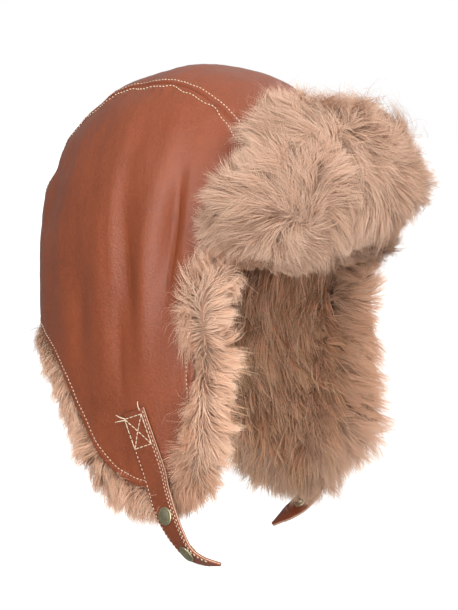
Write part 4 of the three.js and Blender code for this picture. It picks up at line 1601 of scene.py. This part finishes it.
def fur_material(name, cast, depth=1.0, darkest=0.62):
    """Hair shaded from root to tip, with a tone of its own for each hair.

    The cast tints the settings' colours, the depth darkens the roots, and the darkest is how
    dark the darkest hairs are.
    """
    fur = bpy.context.scene.hat_fur
    shader = Shader(name)
    place = shader.node("UVMap", {"uv_map": UV_NAME})[0]
    tone, along, _ = shader.node("SeparateXYZ", {}, {0: place})
    cast = np.array(cast)
    root, middle, tip = shade(fur.root, cast * depth), shade(fur.middle, cast), shade(fur.tip, cast)
    hair = shader.ramp(along, (0.0, shade(root, 0.7)), (0.22, root), (0.58, middle), (0.92, tip))
    dark = shader.mix(1.0, hair, shade((1.0, 0.89, 0.81), darkest), "MULTIPLY")
    pale = shader.mix(0.35, hair, tint(238, 216, 196))
    colour = shader.mix(shader.spread(tone, 0.0, 0.5), dark, hair)
    colour = shader.mix(shader.spread(tone, 0.5, 1.0), colour, pale)
    return shader.finish(
        Base_Color=colour,
        Roughness=0.72,
        Sheen_Weight=0.25,
        Sheen_Roughness=0.4,
        Sheen_Tint=tint(236, 190, 156),
    )


def visor_ground():
    """The ground of the visor's fur: a pillow that wraps over all its edges."""
    ends = columns("across size", (1.0, 1.0), (1.035, 0.9), (1.06, 0.66), (1.07, 0.3))
    inner = np.linspace(1, -1, 49)
    across = np.concatenate([ends["across"][:0:-1], inner, -ends["across"][1:]])
    size = np.concatenate([ends["size"][:0:-1], np.ones(len(inner)), ends["size"][1:]])
    rows = np.linspace(0, 5, 26)
    grid_across, grid_rows = np.broadcast_arrays(across[:, None], rows[None, :])
    grid_across = grid_across * (1 - 0.22 * ease(grid_rows, 3.1, 4.2) * (grid_across > 0))
    drawn_up = 0.9 * ease(grid_across, 0.52, 0.7)
    grid_rows = grid_rows + drawn_up * np.clip(1 - grid_rows / 2.6, 0, 1)
    outer = on_visor_fur(np.clip(grid_across, -1, 1), grid_rows)
    beyond = on_visor_fur(grid_across, grid_rows)
    outer[..., :2] = beyond[..., :2] * 0.5 + outer[..., :2] * 0.5
    u, v = np.gradient(outer, axis=0), np.gradient(outer, axis=1)
    normal = unit(np.cross(u, v))
    normal *= np.sign(np.mean(np.sum(normal * outer, axis=-1)))
    full = swell(grid_across, -0.55, 0.3) * swell(outer[..., 2], 42, 13)
    corner = 4 * swell(angle_of(outer), -42, 12) * swell(outer[..., 2], 2, 12)
    outer[..., 2] += 4 * swell(angle_of(outer), 20, 8) * ease(grid_rows, 3, 4.5)
    outer = outer - normal * (FUR_INSET - corner[..., None])
    outer = outer + full[..., None] * np.array([0.0, -9.0, 0.0])
    foot = on_visor(np.clip(across, -1, 1), np.full(len(across), -5.0), LEATHER + 1.0)
    head_across = np.clip(across, -1, 1) * np.where(across > 0, 0.8, 1)
    head = on_visor(head_across, np.full(len(across), 82.0), LEATHER + 1.0)
    share = np.linspace(0, 1, 5)[:-1][None, :, None]
    low = foot[:, None] * (1 - share) + outer[:, :1] * share
    high = outer[:, -1:] * share[:, ::-1] + head[:, None] * (1 - share[:, ::-1])
    section = np.concatenate([low, outer, high], axis=1)
    heart = section.mean(axis=1, keepdims=True)
    section = heart + (section - heart) * size[:, None, None]
    return Ground(section, np.array([0, -70, 40]))


def combed(table, names, across, along, reach):
    """The table's comb near each place: two shares, the second of them up."""
    total = np.zeros((len(across), 2))
    for a, b, side, up in zip(*(table[name] for name in names)):
        total += swell(np.hypot(across - a, along - b), 0, reach)[:, None] * np.array([side, up])
    return total


def from_whorl(p):
    """How far points lie from the middle of the whorl, round the crown and up."""
    return (angle_of(p) - WHORL["angle"]) * ARC, p[:, 2] - WHORL["z"]


def visor_comb(p, n, at):
    """Away from the whorl over the wearer's right brow, then in the locks of the table."""
    leftwards = unit(np.cross(UP, n))
    upwards = np.cross(n, leftwards)
    beside, rise = from_whorl(p)
    away = np.hypot(beside, rise)
    read_at = p[:, 2] + 8 * swell(away, 0, 34)
    names = ("around", "z", "left", "up")
    ways = unit(np.stack([-beside, rise], axis=-1)) * 0.03
    ways = ways + combed(VISOR_COMBS, names, angle_of(p) * ARC, read_at, 10)
    comb = flattened(leftwards * ways[:, :1] + upwards * ways[:, 1:], n)
    return turned(comb, n, 1.1 * swell(away, 0, 18) + 0.9 * swell(away, 0, 14) * ripple(p, 7, 23))


def visor_length(p, at):
    """Long to the wearer's left, shorter at the right end, and trimmed along the lower edge."""
    angle, z = angle_of(p), p[:, 2]
    long = 1 - (0.12 + 0.62 * ease(z, 46, 64)) * ease(angle, 32, 46)
    long = long + 0.6 * ease(-angle, 18, 34) * swell(z, 45, 13)
    long = long * (1 - 0.4 * ease(-angle, 8, 24) * (1 - ease(z, 14, 34)))
    long = long * (1 - 0.35 * whorl_share(p)) * (1 - 0.5 * visor_parting(p))
    long = long * bpy.context.scene.hat_fur.length / MM
    fringe = ease(20 - angle, 0, 8)
    foot = -11 + 13 * ease(angle, 29, 36) - 10 * swell(angle, 26, 4) + 14 * fringe
    long = np.minimum(long, 5 + 0.9 * np.maximum(0, z - foot))
    return np.maximum(long, (16 + 15 * ease(-angle, 6, 26)) * fringe * (1 - ease(z, 2, 7)))


def whorl_share(p):
    """1 in the middle of the whorl."""
    return swell(np.hypot(*from_whorl(p)), 0, WHORL["size"])


def visor_looseness(p, at):
    """Loosest in the whorl."""
    return 1 + 1.2 * whorl_share(p)


def visor_parting(p):
    """1 in the middle of the places where the fur parts."""
    share = np.zeros(len(p))
    for angle, z, size in zip(*VISOR_PARTINGS.values()):
        share += swell(np.hypot((angle_of(p) - angle) * ARC, p[:, 2] - z), 0, size)
    return np.minimum(share, 1)


def visor_painted_light_and_shade(p):
    """Paler in the whorl and over the top, darker in partings, underneath and to the left: painted
    light and shade.
    """
    # Painted shade along the underside of the visor's lower edge.
    under = (1 - ease(p[:, 2], 2, 9)) * ease(24 - angle_of(p), 0, 8)
    under += (1 - ease(p[:, 2], -2, 4)) * swell(angle_of(p), 38, 6)
    # Painted light over the top of the visor.
    over = ease(p[:, 2], 74, 88)
    shaded = 0.13 * ease(-angle_of(p), -2, 12) + 0.2 * ease(-angle_of(p), 14, 30)
    # Painted light in the whorl, painted shade in the partings and towards the wearer's left.
    return 0.3 * whorl_share(p) + 0.12 * over - under - 0.6 * visor_parting(p) - shaded


def round_section(stations):
    """The roll's section at each station, as a smooth ring of points about its heart."""
    names = ("out", "lift", "frontOut", "frontLift")
    corners = np.stack([ROLL[name] for name in names], axis=-1)
    rows = np.linspace(0, len(corners), ROLL_POINTS)
    closed = np.vstack([corners, corners[:1]])
    low = np.minimum(rows.astype(int), len(corners) - 1)
    share = (rows - low)[:, None]
    ring = closed[low] * (1 - share) + closed[low + 1] * share
    for _ in range(2):
        body = ring[:-1]
        body = (np.roll(body, 1, axis=0) + 2 * body + np.roll(body, -1, axis=0)) / 4
        ring = np.vstack([body, body[:1]])
    front = stations["front"][:, None, None]
    plain = ring[None, :, :2] * (1 - front) + ring[None, :, 2:] * front
    heart_front = np.array([ROLL_HEART["frontOut"], ROLL_HEART["frontLift"]])
    heart = np.array([ROLL_HEART["out"], ROLL_HEART["lift"]]) * (1 - front) + heart_front * front
    return plain, heart, rows


def roll_ground(edge, side, span):
    """The ground of an edge's fur, and what its combing needs at each place."""
    stations = edge_frame(edge, np.linspace(*span, ROLL_STATIONS), side)
    ring, heart, rows = round_section(stations)
    sunk = 8 * swell(stations["base"][:, 2], -68, 13) * stations["front"] * (side > 0)
    sunk = sunk[:, None] * ease(ring[..., 1], -6, 8)
    from_heart = ring - heart + np.stack([0.4 * sunk, -sunk], axis=-1)
    size = np.linalg.norm(from_heart, axis=-1, keepdims=True)
    from_end = np.minimum(np.arange(ROLL_STATIONS), np.arange(ROLL_STATIONS)[::-1])
    narrow = np.sqrt(np.clip(from_end / 4, 0.02, 1))[:, None, None]
    ring = heart + from_heart * np.maximum(0.2, 1 - ROLL_INSET / size) * narrow
    out, lift = stations["out"][:, None], stations["lift"][:, None]
    points = stations["base"][:, None] + out * ring[..., :1] + lift * ring[..., 1:]
    middle = stations["base"][:, None] + out * heart[..., :1] + lift * heart[..., 1:]
    return Ground(points, middle), stations, rows


def roll_hair(edge, side, span, sown):
    """The hair of one edge: it parts along the crest at the front and lies out at the back."""
    ground, stations, rows = roll_ground(edge, side, span)
    last = len(ROLL["out"])
    spread = {name: stations[name] for name in ("base", "out", "lift")}
    spread["front"] = stations["front"][:, None]

    def at_place(name, row):
        values = np.append(ROLL[name], ROLL[name][0])
        return np.interp(row, np.arange(last + 1), values)

    def rise_at(name, p):
        return np.interp(-p[:, 2], -RISES["z"], RISES[name])

    def where(at):
        station = np.clip(at[:, 0], 0, ROLL_STATIONS - 1)
        low = np.minimum(station.astype(int), ROLL_STATIONS - 2)
        share = (station - low)[:, None]
        pick = {name: a[low] * (1 - share) + a[low + 1] * share for name, a in spread.items()}
        return pick, np.interp(at[:, 1], np.arange(len(rows)), rows)

    def comb_at(p, n, at):
        pick, row = where(at)
        row = np.clip(row + 0.3 * ripple(p, 9, 21) * (1 - ease(row, 2.6, 3.4)), 0, last)
        if side > 0:
            row = row + 3 + ease(row, 3.15, 3.75) - np.clip(row, 3, 4)
        front = pick["front"]
        plain = [at_place(name, row)[:, None] for name in ("combOut", "combLift")]
        ahead_names = ("rightOut", "rightLift") if side > 0 else ("leftOut", "leftLift")
        ahead = [at_place(name, row)[:, None] for name in ahead_names]
        out, lift = (a * (1 - front) + b * front for a, b in zip(plain, ahead))
        tuft, face = (rise_at(name, p)[:, None] for name in ("tuft", "face"))
        face_share = ease(row, 2.3, 3.2)[:, None]
        rise = (tuft * (1 - face_share) + face * face_share) * front - 0.8 * (1 - front)
        over = (ease(-p[:, 2], 122, 142) * swell(row, 2.2, 1.2))[:, None] * (1 - front)
        out, lift = out - 1.2 * over, lift + 0.8 * over
        return pick["out"] * out + pick["lift"] * lift + UP * rise + 0.2 * n

    def length_at(p, at):
        pick, row = where(at)
        front = pick["front"][:, 0]
        long = at_place("long", row) * (1 - front) + at_place("frontLong", row) * front
        z = p[:, 2]
        tufts = front * (1 - ease(row, 2.8, 3.5)) * (side > 0)
        least = 0.25 * ease(row, 1.2, 1.8) + 0.25 * ease(row, 2.3, 2.9)
        reach = np.maximum(rise_at("reach", p), least)
        long = long * (1 + (reach - 1) * tufts)
        if side > 0:
            return long * (1 + 0.4 * ease(-z, 118, 150) * (0.4 + 0.6 * front))
        outer = 1 - ease(row, 3.2, 5)
        return long * (1.25 + 0.6 * swell(z, -128, 40)) * (1 - 0.35 * outer)

    def loose_at(p, at):
        row = where(at)[1]
        return 1 - 0.65 * ease(row, 2.5, 3.3)

    def settle(paths, at):
        """Rests the hair that is combed back over the leather on its face."""
        pick, _ = where(at)
        over = along_last(paths - pick["base"][:, None], pick["out"][:, None])[..., 0] < 1.5
        above = along_last(paths[:, 0] - pick["base"], pick["lift"])[:, 0] > -1.5
        sunk = np.clip(0.8 - height_over(paths), 0, 12) * over * above[:, None]
        sunk[:, 0] = 0
        return paths + outward(paths) * sunk[..., None]

    def tone_and_painted_light_at(p):
        if side > 0:
            return 0.15 * ease(p[:, 2], -60, -40) + 0.08
        # Painted light: the far flap's edge is paler towards its foot.
        return 0.6 * ease(-p[:, 2], 110, 150)

    ways = {
        "comb": comb_at,
        "length": length_at,
        "loose": loose_at,
        "settle": settle,
        "tone": tone_and_painted_light_at,
    }
    shown = np.interp((rows[:-1] + rows[1:]) / 2, ROLL_SHOWN["row"], ROLL_SHOWN["share"])
    weight = np.broadcast_to(shown, ground.cells.shape)
    coat = {**EDGE_COAT, "pull": sown["pull"]}
    return [underfur(ground), grow(ground, sown["hairs"], sown["seed"], coat, ways, weight)]


def lining_ground(side):
    """The face of one flap's lining."""
    edge = flap_edge(side)
    share = np.linspace(0, 1, 36)
    angle = 61 + 73 * share
    head_z = np.interp(angle, LINING_FOOT["angle"], LINING_FOOT["z"]) - 2 * SEAM_GAP
    head = on_wall(side * angle, head_z)
    foot = edge(0.13 + 0.77 * share)
    down = np.linspace(0, 1, 34)[None, :, None]
    p = on_crown(head[:, None] * (1 - down) + foot[:, None] * down)
    return Ground(under_skin(p, BACKING - 1.5), p)


def crown_lining_ground():
    """The face of the crown's lining, from the dome down to its foot."""
    angle = np.linspace(0, 360, 73)
    foot_z = np.interp(np.minimum(angle, 360 - angle), LINING_FOOT["angle"], LINING_FOOT["z"])
    foot = on_wall(angle, foot_z)
    flat = np.hypot(foot[:, 0], foot[:, 1])
    low = np.arctan2(foot[:, 2] - WALL_TOP, flat)
    steep = np.pi / 2 * 0.98
    rise = steep + (low - steep)[:, None] * np.linspace(0, 1, 36)
    x, y = ((foot[:, axis] / flat)[:, None] * np.cos(rise) for axis in (0, 1))
    way = np.stack([x, y, np.sin(rise)], axis=-1)
    heart = np.zeros_like(way)
    heart[..., 2] = WALL_TOP
    p = meet(heart, way)
    return Ground(under_skin(p, BACKING - 1.5), p)


def lining_comb(p, n, at):
    """Down and forwards, curving to the front edge high on each flap."""
    forward = flattened(np.array([0.0, -1.0, 0.0]) + 0 * p, n)
    up = flattened(UP + 0 * p, n)
    ways = combed(LINING_COMBS, ("y", "z", "forward", "up"), p[:, 1], p[:, 2], 16)
    ways += [0.01, -0.03]
    return forward * ways[:, :1] + up * ways[:, 1:]


def lining_length(p, at):
    """Shorter towards the foot of a flap."""
    return (1.2 - 0.5 * ease(-p[:, 2], 135, 180)) * bpy.context.scene.hat_fur.length / MM


def lining_tone(p):
    """Darker towards the nape, where the flaps shade their own lining."""
    return -0.25 * ease(p[:, 1], 6, 30)


def crown_lining_length(p, at):
    """Shorter than on the flaps, and shortest behind the visor."""
    front = 1 - ease(np.abs(angle_of(p)), 44, 60)
    low = 1 - ease(p[:, 2], 0, 40)
    return lining_length(p, at) * (0.6 - 0.38 * front * low)


# The operators


def colour_of(value):
    """A setting's colour, with alpha."""
    return (*value, 1.0)


def direction(azimuth, elevation):
    """The way towards a place round the hat, from straight ahead and from level."""
    flat = np.cos(elevation)
    return Vector((np.sin(azimuth) * flat, -np.cos(azimuth) * flat, np.sin(elevation)))


class HAT_OT_leather(bpy.types.Operator):
    """Build the three crown panels and the visor's leather"""

    bl_idname = "hat.leather"
    bl_label = "Leather panels"

    def execute(self, context):
        leather = context.scene.hat_leather
        base, crease = colour_of(leather.colour), colour_of(leather.crease)
        upper = leather_material("hat_leather", base, crease, leather.grain)
        panels = {
            "side_panel_right_leather": (side_panel(1), "side_panel_right"),
            "side_panel_left_leather": (side_panel(-1), "side_panel_left"),
            "crown_strip_leather": (crown_strip(), "crown_strip"),
            "visor_turned_leather": (visor_leather(), "visor_leather"),
        }
        for name, (made, node) in panels.items():
            make_piece(name, [made], [upper], [node])
        return {"FINISHED"}


class HAT_OT_stitching(bpy.types.Operator):
    """Sew the double rows beside the seams and the row inside each flap's edge"""

    bl_idname = "hat.stitching"
    bl_label = "Stitching"

    def execute(self, context):
        leather = context.scene.hat_leather
        thread = thread_material(colour_of(leather.thread_colour))
        pitch, width = leather.stitch / MM, leather.thread / MM
        for word, side in SIDES.items():
            rows = [*seam_rows(side, pitch, width), hem_row(side, pitch, width)]
            make_piece(f"stitching_{word}", rows, [thread])
        return {"FINISHED"}


class HAT_OT_straps(bpy.types.Operator):
    """Make the two layered leather straps with their stitching and crossed boxes"""

    bl_idname = "hat.straps"
    bl_label = "Straps"

    def execute(self, context):
        leather = context.scene.hat_leather
        thread = thread_material(colour_of(leather.thread_colour))
        base, crease = shade(leather.colour, 0.9), colour_of(leather.crease)
        face = leather_material("strap_leather", base, crease, leather.grain)
        core = suede_material(tint(222, 190, 160))
        pitch, width = leather.stitch / MM, leather.thread / MM
        for word in SIDES:
            run = strap_run(word)
            layers, threads = strap_layers(run), strap_threads(run, pitch, width)
            node = f"strap_{word}"
            make_piece(f"{node}_leather", layers, [face, core], [node])
            make_piece(f"{node}_stitching", threads, [thread])
        return {"FINISHED"}


class HAT_OT_snaps(bpy.types.Operator):
    """Turn the four snaps"""

    bl_idname = "hat.snaps"
    bl_label = "Snaps"

    def execute(self, context):
        metal = metal_material(colour_of(context.scene.hat_leather.metal_colour))
        for word in SIDES:
            run = strap_run(word)
            for name, row in SNAP_ROWS.items():
                node = f"snap_{word}_{name}"
                make_piece(f"{node}_metal", [snap(run, row)], [metal], [node])
        return {"FINISHED"}


class HAT_OT_visor_fur(bpy.types.Operator):
    """Grow the deep fur of the turned-up visor"""

    bl_idname = "hat.visor_fur"
    bl_label = "Visor fur"

    def execute(self, context):
        hair = fur_material("visor_hair", cast=(0.91, 0.895, 0.885))
        ground = visor_ground()
        ways = {
            "comb": visor_comb,
            "length": visor_length,
            "loose": visor_looseness,
            "tone": visor_painted_light_and_shade,
        }
        corners = ground.points[:-1, :-1]
        weight = 1 + 1.5 * whorl_share(corners.reshape(-1, 3)).reshape(corners.shape[:2])
        made = grow(ground, VISOR_HAIR["hairs"], VISOR_HAIR["seed"], VISOR_COAT, ways, weight)
        make_piece("visor_fur_pile", [underfur(ground), made], [hair], ["visor_fur"])
        return {"FINISHED"}


class HAT_OT_edge_fur(bpy.types.Operator):
    """Grow the fur round the edges of both flaps and under the nape"""

    bl_idname = "hat.edge_fur"
    bl_label = "Edge fur"

    def execute(self, context):
        near = fur_material("edge_hair", cast=(1.08, 1.02, 0.96), depth=0.9)
        # The far flap's edge takes a darker, warmer copy of the same hair: painted shade for the side
        # turned from the light.
        far = fur_material("far_edge_hair", cast=(0.94, 0.865, 0.785), depth=0.8)
        edges = {
            "right": (flap_edge(1), 1, FLAP_HAIR["right"], near),
            "left": (flap_edge(-1), -1, FLAP_HAIR["left"], far),
            "nape": (wide_nape_edge, 1, (0, 1), near),
        }
        for word, (edge, side, span, hair) in edges.items():
            made = roll_hair(edge, side, span, EDGE_HAIR[word])
            make_piece(f"edge_fur_{word}_pile", made, [hair], [f"edge_fur_{word}"])
        return {"FINISHED"}


class HAT_OT_lining(bpy.types.Operator):
    """Grow the fur that lines the crown and both flaps"""

    bl_idname = "hat.lining"
    bl_label = "Lining"

    def execute(self, context):
        # Painted light: the lining's hair is cast brighter and warmer, standing in for light in the
        # hollow of the hat.
        hair = fur_material("lining_hair", cast=(1.42, 1.16, 0.95), depth=0.66, darkest=0.42)
        grounds = {
            "crown_lining": (crown_lining_ground(), crown_lining_length),
            "flap_lining_right": (lining_ground(1), lining_length),
            "flap_lining_left": (lining_ground(-1), lining_length),
        }
        for name, (ground, length) in grounds.items():
            sown = LINING_HAIR[name]
            coat = {**LINING_COAT, "width": sown["width"]}
            ways = {"comb": lining_comb, "length": length, "tone": lining_tone}
            made = grow(ground, sown["hairs"], sown["seed"], coat, ways)
            make_piece(f"{name}_pile", [underfur(ground), made], [hair], [name])
        return {"FINISHED"}


class HAT_OT_stage(bpy.types.Operator):
    """Set the camera, the pale floor and the soft lights"""

    bl_idname = "hat.stage"
    bl_label = "Stage"

    def execute(self, context):
        scene = context.scene
        stage = scene.hat_stage
        data = bpy.data.cameras.new("camera")
        data.lens = LENS
        data.sensor_width = 36
        data.clip_start = 0.05
        data.clip_end = 50
        back = direction(stage.azimuth, stage.elevation)
        scene.camera = self.aim(scene, data, Vector(VIEW_CENTRE) * MM, back, stage.distance)
        self.add_floor(scene, CAD_BOX[0].z - stage.floor)
        for name, azimuth, elevation, far, size, share in zip(LIGHT_NAMES, *LIGHTS.values()):
            data = bpy.data.lights.new(name, "AREA")
            data.shape = "DISK"
            data.size = size
            data.energy = stage.key * share
            way = direction(np.radians(azimuth), np.radians(elevation))
            self.aim(scene, data, Vector(), way, far)
        world = bpy.data.worlds.new("white_room")
        world.use_nodes = True
        self.light_room(world.node_tree, stage.sky)
        scene.world = world
        scene.view_settings.view_transform = "Standard"
        return {"FINISHED"}

    def aim(self, scene, data, centre, way, far):
        """Adds a camera or a light some way off a centre, looking back at it."""
        made = bpy.data.objects.new(data.name, data)
        made.location = centre + way * far
        made.rotation_euler = (-way).to_track_quat("-Z", "Y").to_euler()
        scene.collection.objects.link(made)
        return made

    def light_room(self, tree, sky):
        """A white room, brighter in front and on the wearer's left than behind the right side."""

        def node(kind, **settings):
            made = tree.nodes.new("ShaderNode" + kind)
            for name, setting in settings.items():
                setattr(made, name, setting)
            return made

        way = node("TexCoord").outputs["Generated"]
        towards = node("VectorMath", operation="DOT_PRODUCT")
        towards.inputs[1].default_value = Vector((0.45, -0.75, 0.5)).normalized()
        tree.links.new(way, towards.inputs[0])
        lit = node("MapRange")
        for socket, value in zip(lit.inputs[1:], (-0.7, 0.9, 0.25 * sky, sky)):
            socket.default_value = value
        tree.links.new(towards.outputs["Value"], lit.inputs[0])
        seen = node("MapRange")
        seen.inputs[4].default_value = 1.0
        tree.links.new(node("LightPath").outputs["Is Camera Ray"], seen.inputs[0])
        tree.links.new(lit.outputs[0], seen.inputs[3])
        background = tree.nodes["Background"]
        background.inputs[0].default_value = (1, 1, 1, 1)
        tree.links.new(seen.outputs[0], background.inputs[1])

    def add_floor(self, scene, z):
        """A wide pale floor, 12 m from its middle to each side."""
        half = 12.0
        corners = [(-half, -half, z), (half, -half, z), (half, half, z), (-half, half, z)]
        mesh = bpy.data.meshes.new("floor")
        mesh.from_pydata(corners, [], [(0, 1, 2, 3)])
        shader = Shader("pale_floor")
        patches = shader.noise(shader.node("TexCoord")[3], 400, 2)
        finish = shader.finish(
            Base_Color=shader.ramp(patches, (0.3, (0.9, 0.9, 0.9)), (0.7, (0.93, 0.93, 0.93))),
            Roughness=0.9,
            Emission_Color=(1, 1, 1, 1),
            Emission_Strength=0.6,
        )
        mesh.materials.append(finish)
        floor = bpy.data.objects.new("floor", mesh)
        floor.visible_diffuse = False
        floor.visible_glossy = False
        scene.collection.objects.link(floor)


class HAT_PT_panel(bpy.types.Panel):
    """The hat's settings and the steps that build it"""

    bl_label = "Trapper Hat"
    bl_idname = "HAT_PT_panel"
    bl_space_type = "VIEW_3D"
    bl_region_type = "UI"
    bl_category = "Hat"

    def draw(self, context):
        for group_name in GROUPS:
            group = getattr(context.scene, group_name)
            box = self.layout.box()
            for name in group.bl_rna.properties.keys():
                if name not in ("rna_type", "name"):
                    box.prop(group, name)
        for step in STEPS:
            self.layout.operator(step.bl_idname)


STEPS = (
    HAT_OT_stage,
    HAT_OT_leather,
    HAT_OT_stitching,
    HAT_OT_straps,
    HAT_OT_snaps,
    HAT_OT_visor_fur,
    HAT_OT_edge_fur,
    HAT_OT_lining,
)
GROUPS = {
    "hat_leather": HatLeatherSettings,
    "hat_fur": HatFurSettings,
    "hat_stage": HatStageSettings,
}


def register():
    for item in (*GROUPS.values(), *STEPS, HAT_PT_panel):
        bpy.utils.register_class(item)
    for name, group in GROUPS.items():
        setattr(bpy.types.Scene, name, bpy.props.PointerProperty(type=group))


def unregister():
    for name in GROUPS:
        delattr(bpy.types.Scene, name)
    for item in (HAT_PT_panel, *reversed(STEPS), *reversed(list(GROUPS.values()))):
        bpy.utils.unregister_class(item)


def main():
    register()
    for step in STEPS:
        group, name = step.bl_idname.split(".")
        getattr(getattr(bpy.ops, group), name)()


if __name__ == "__main__":
    main()
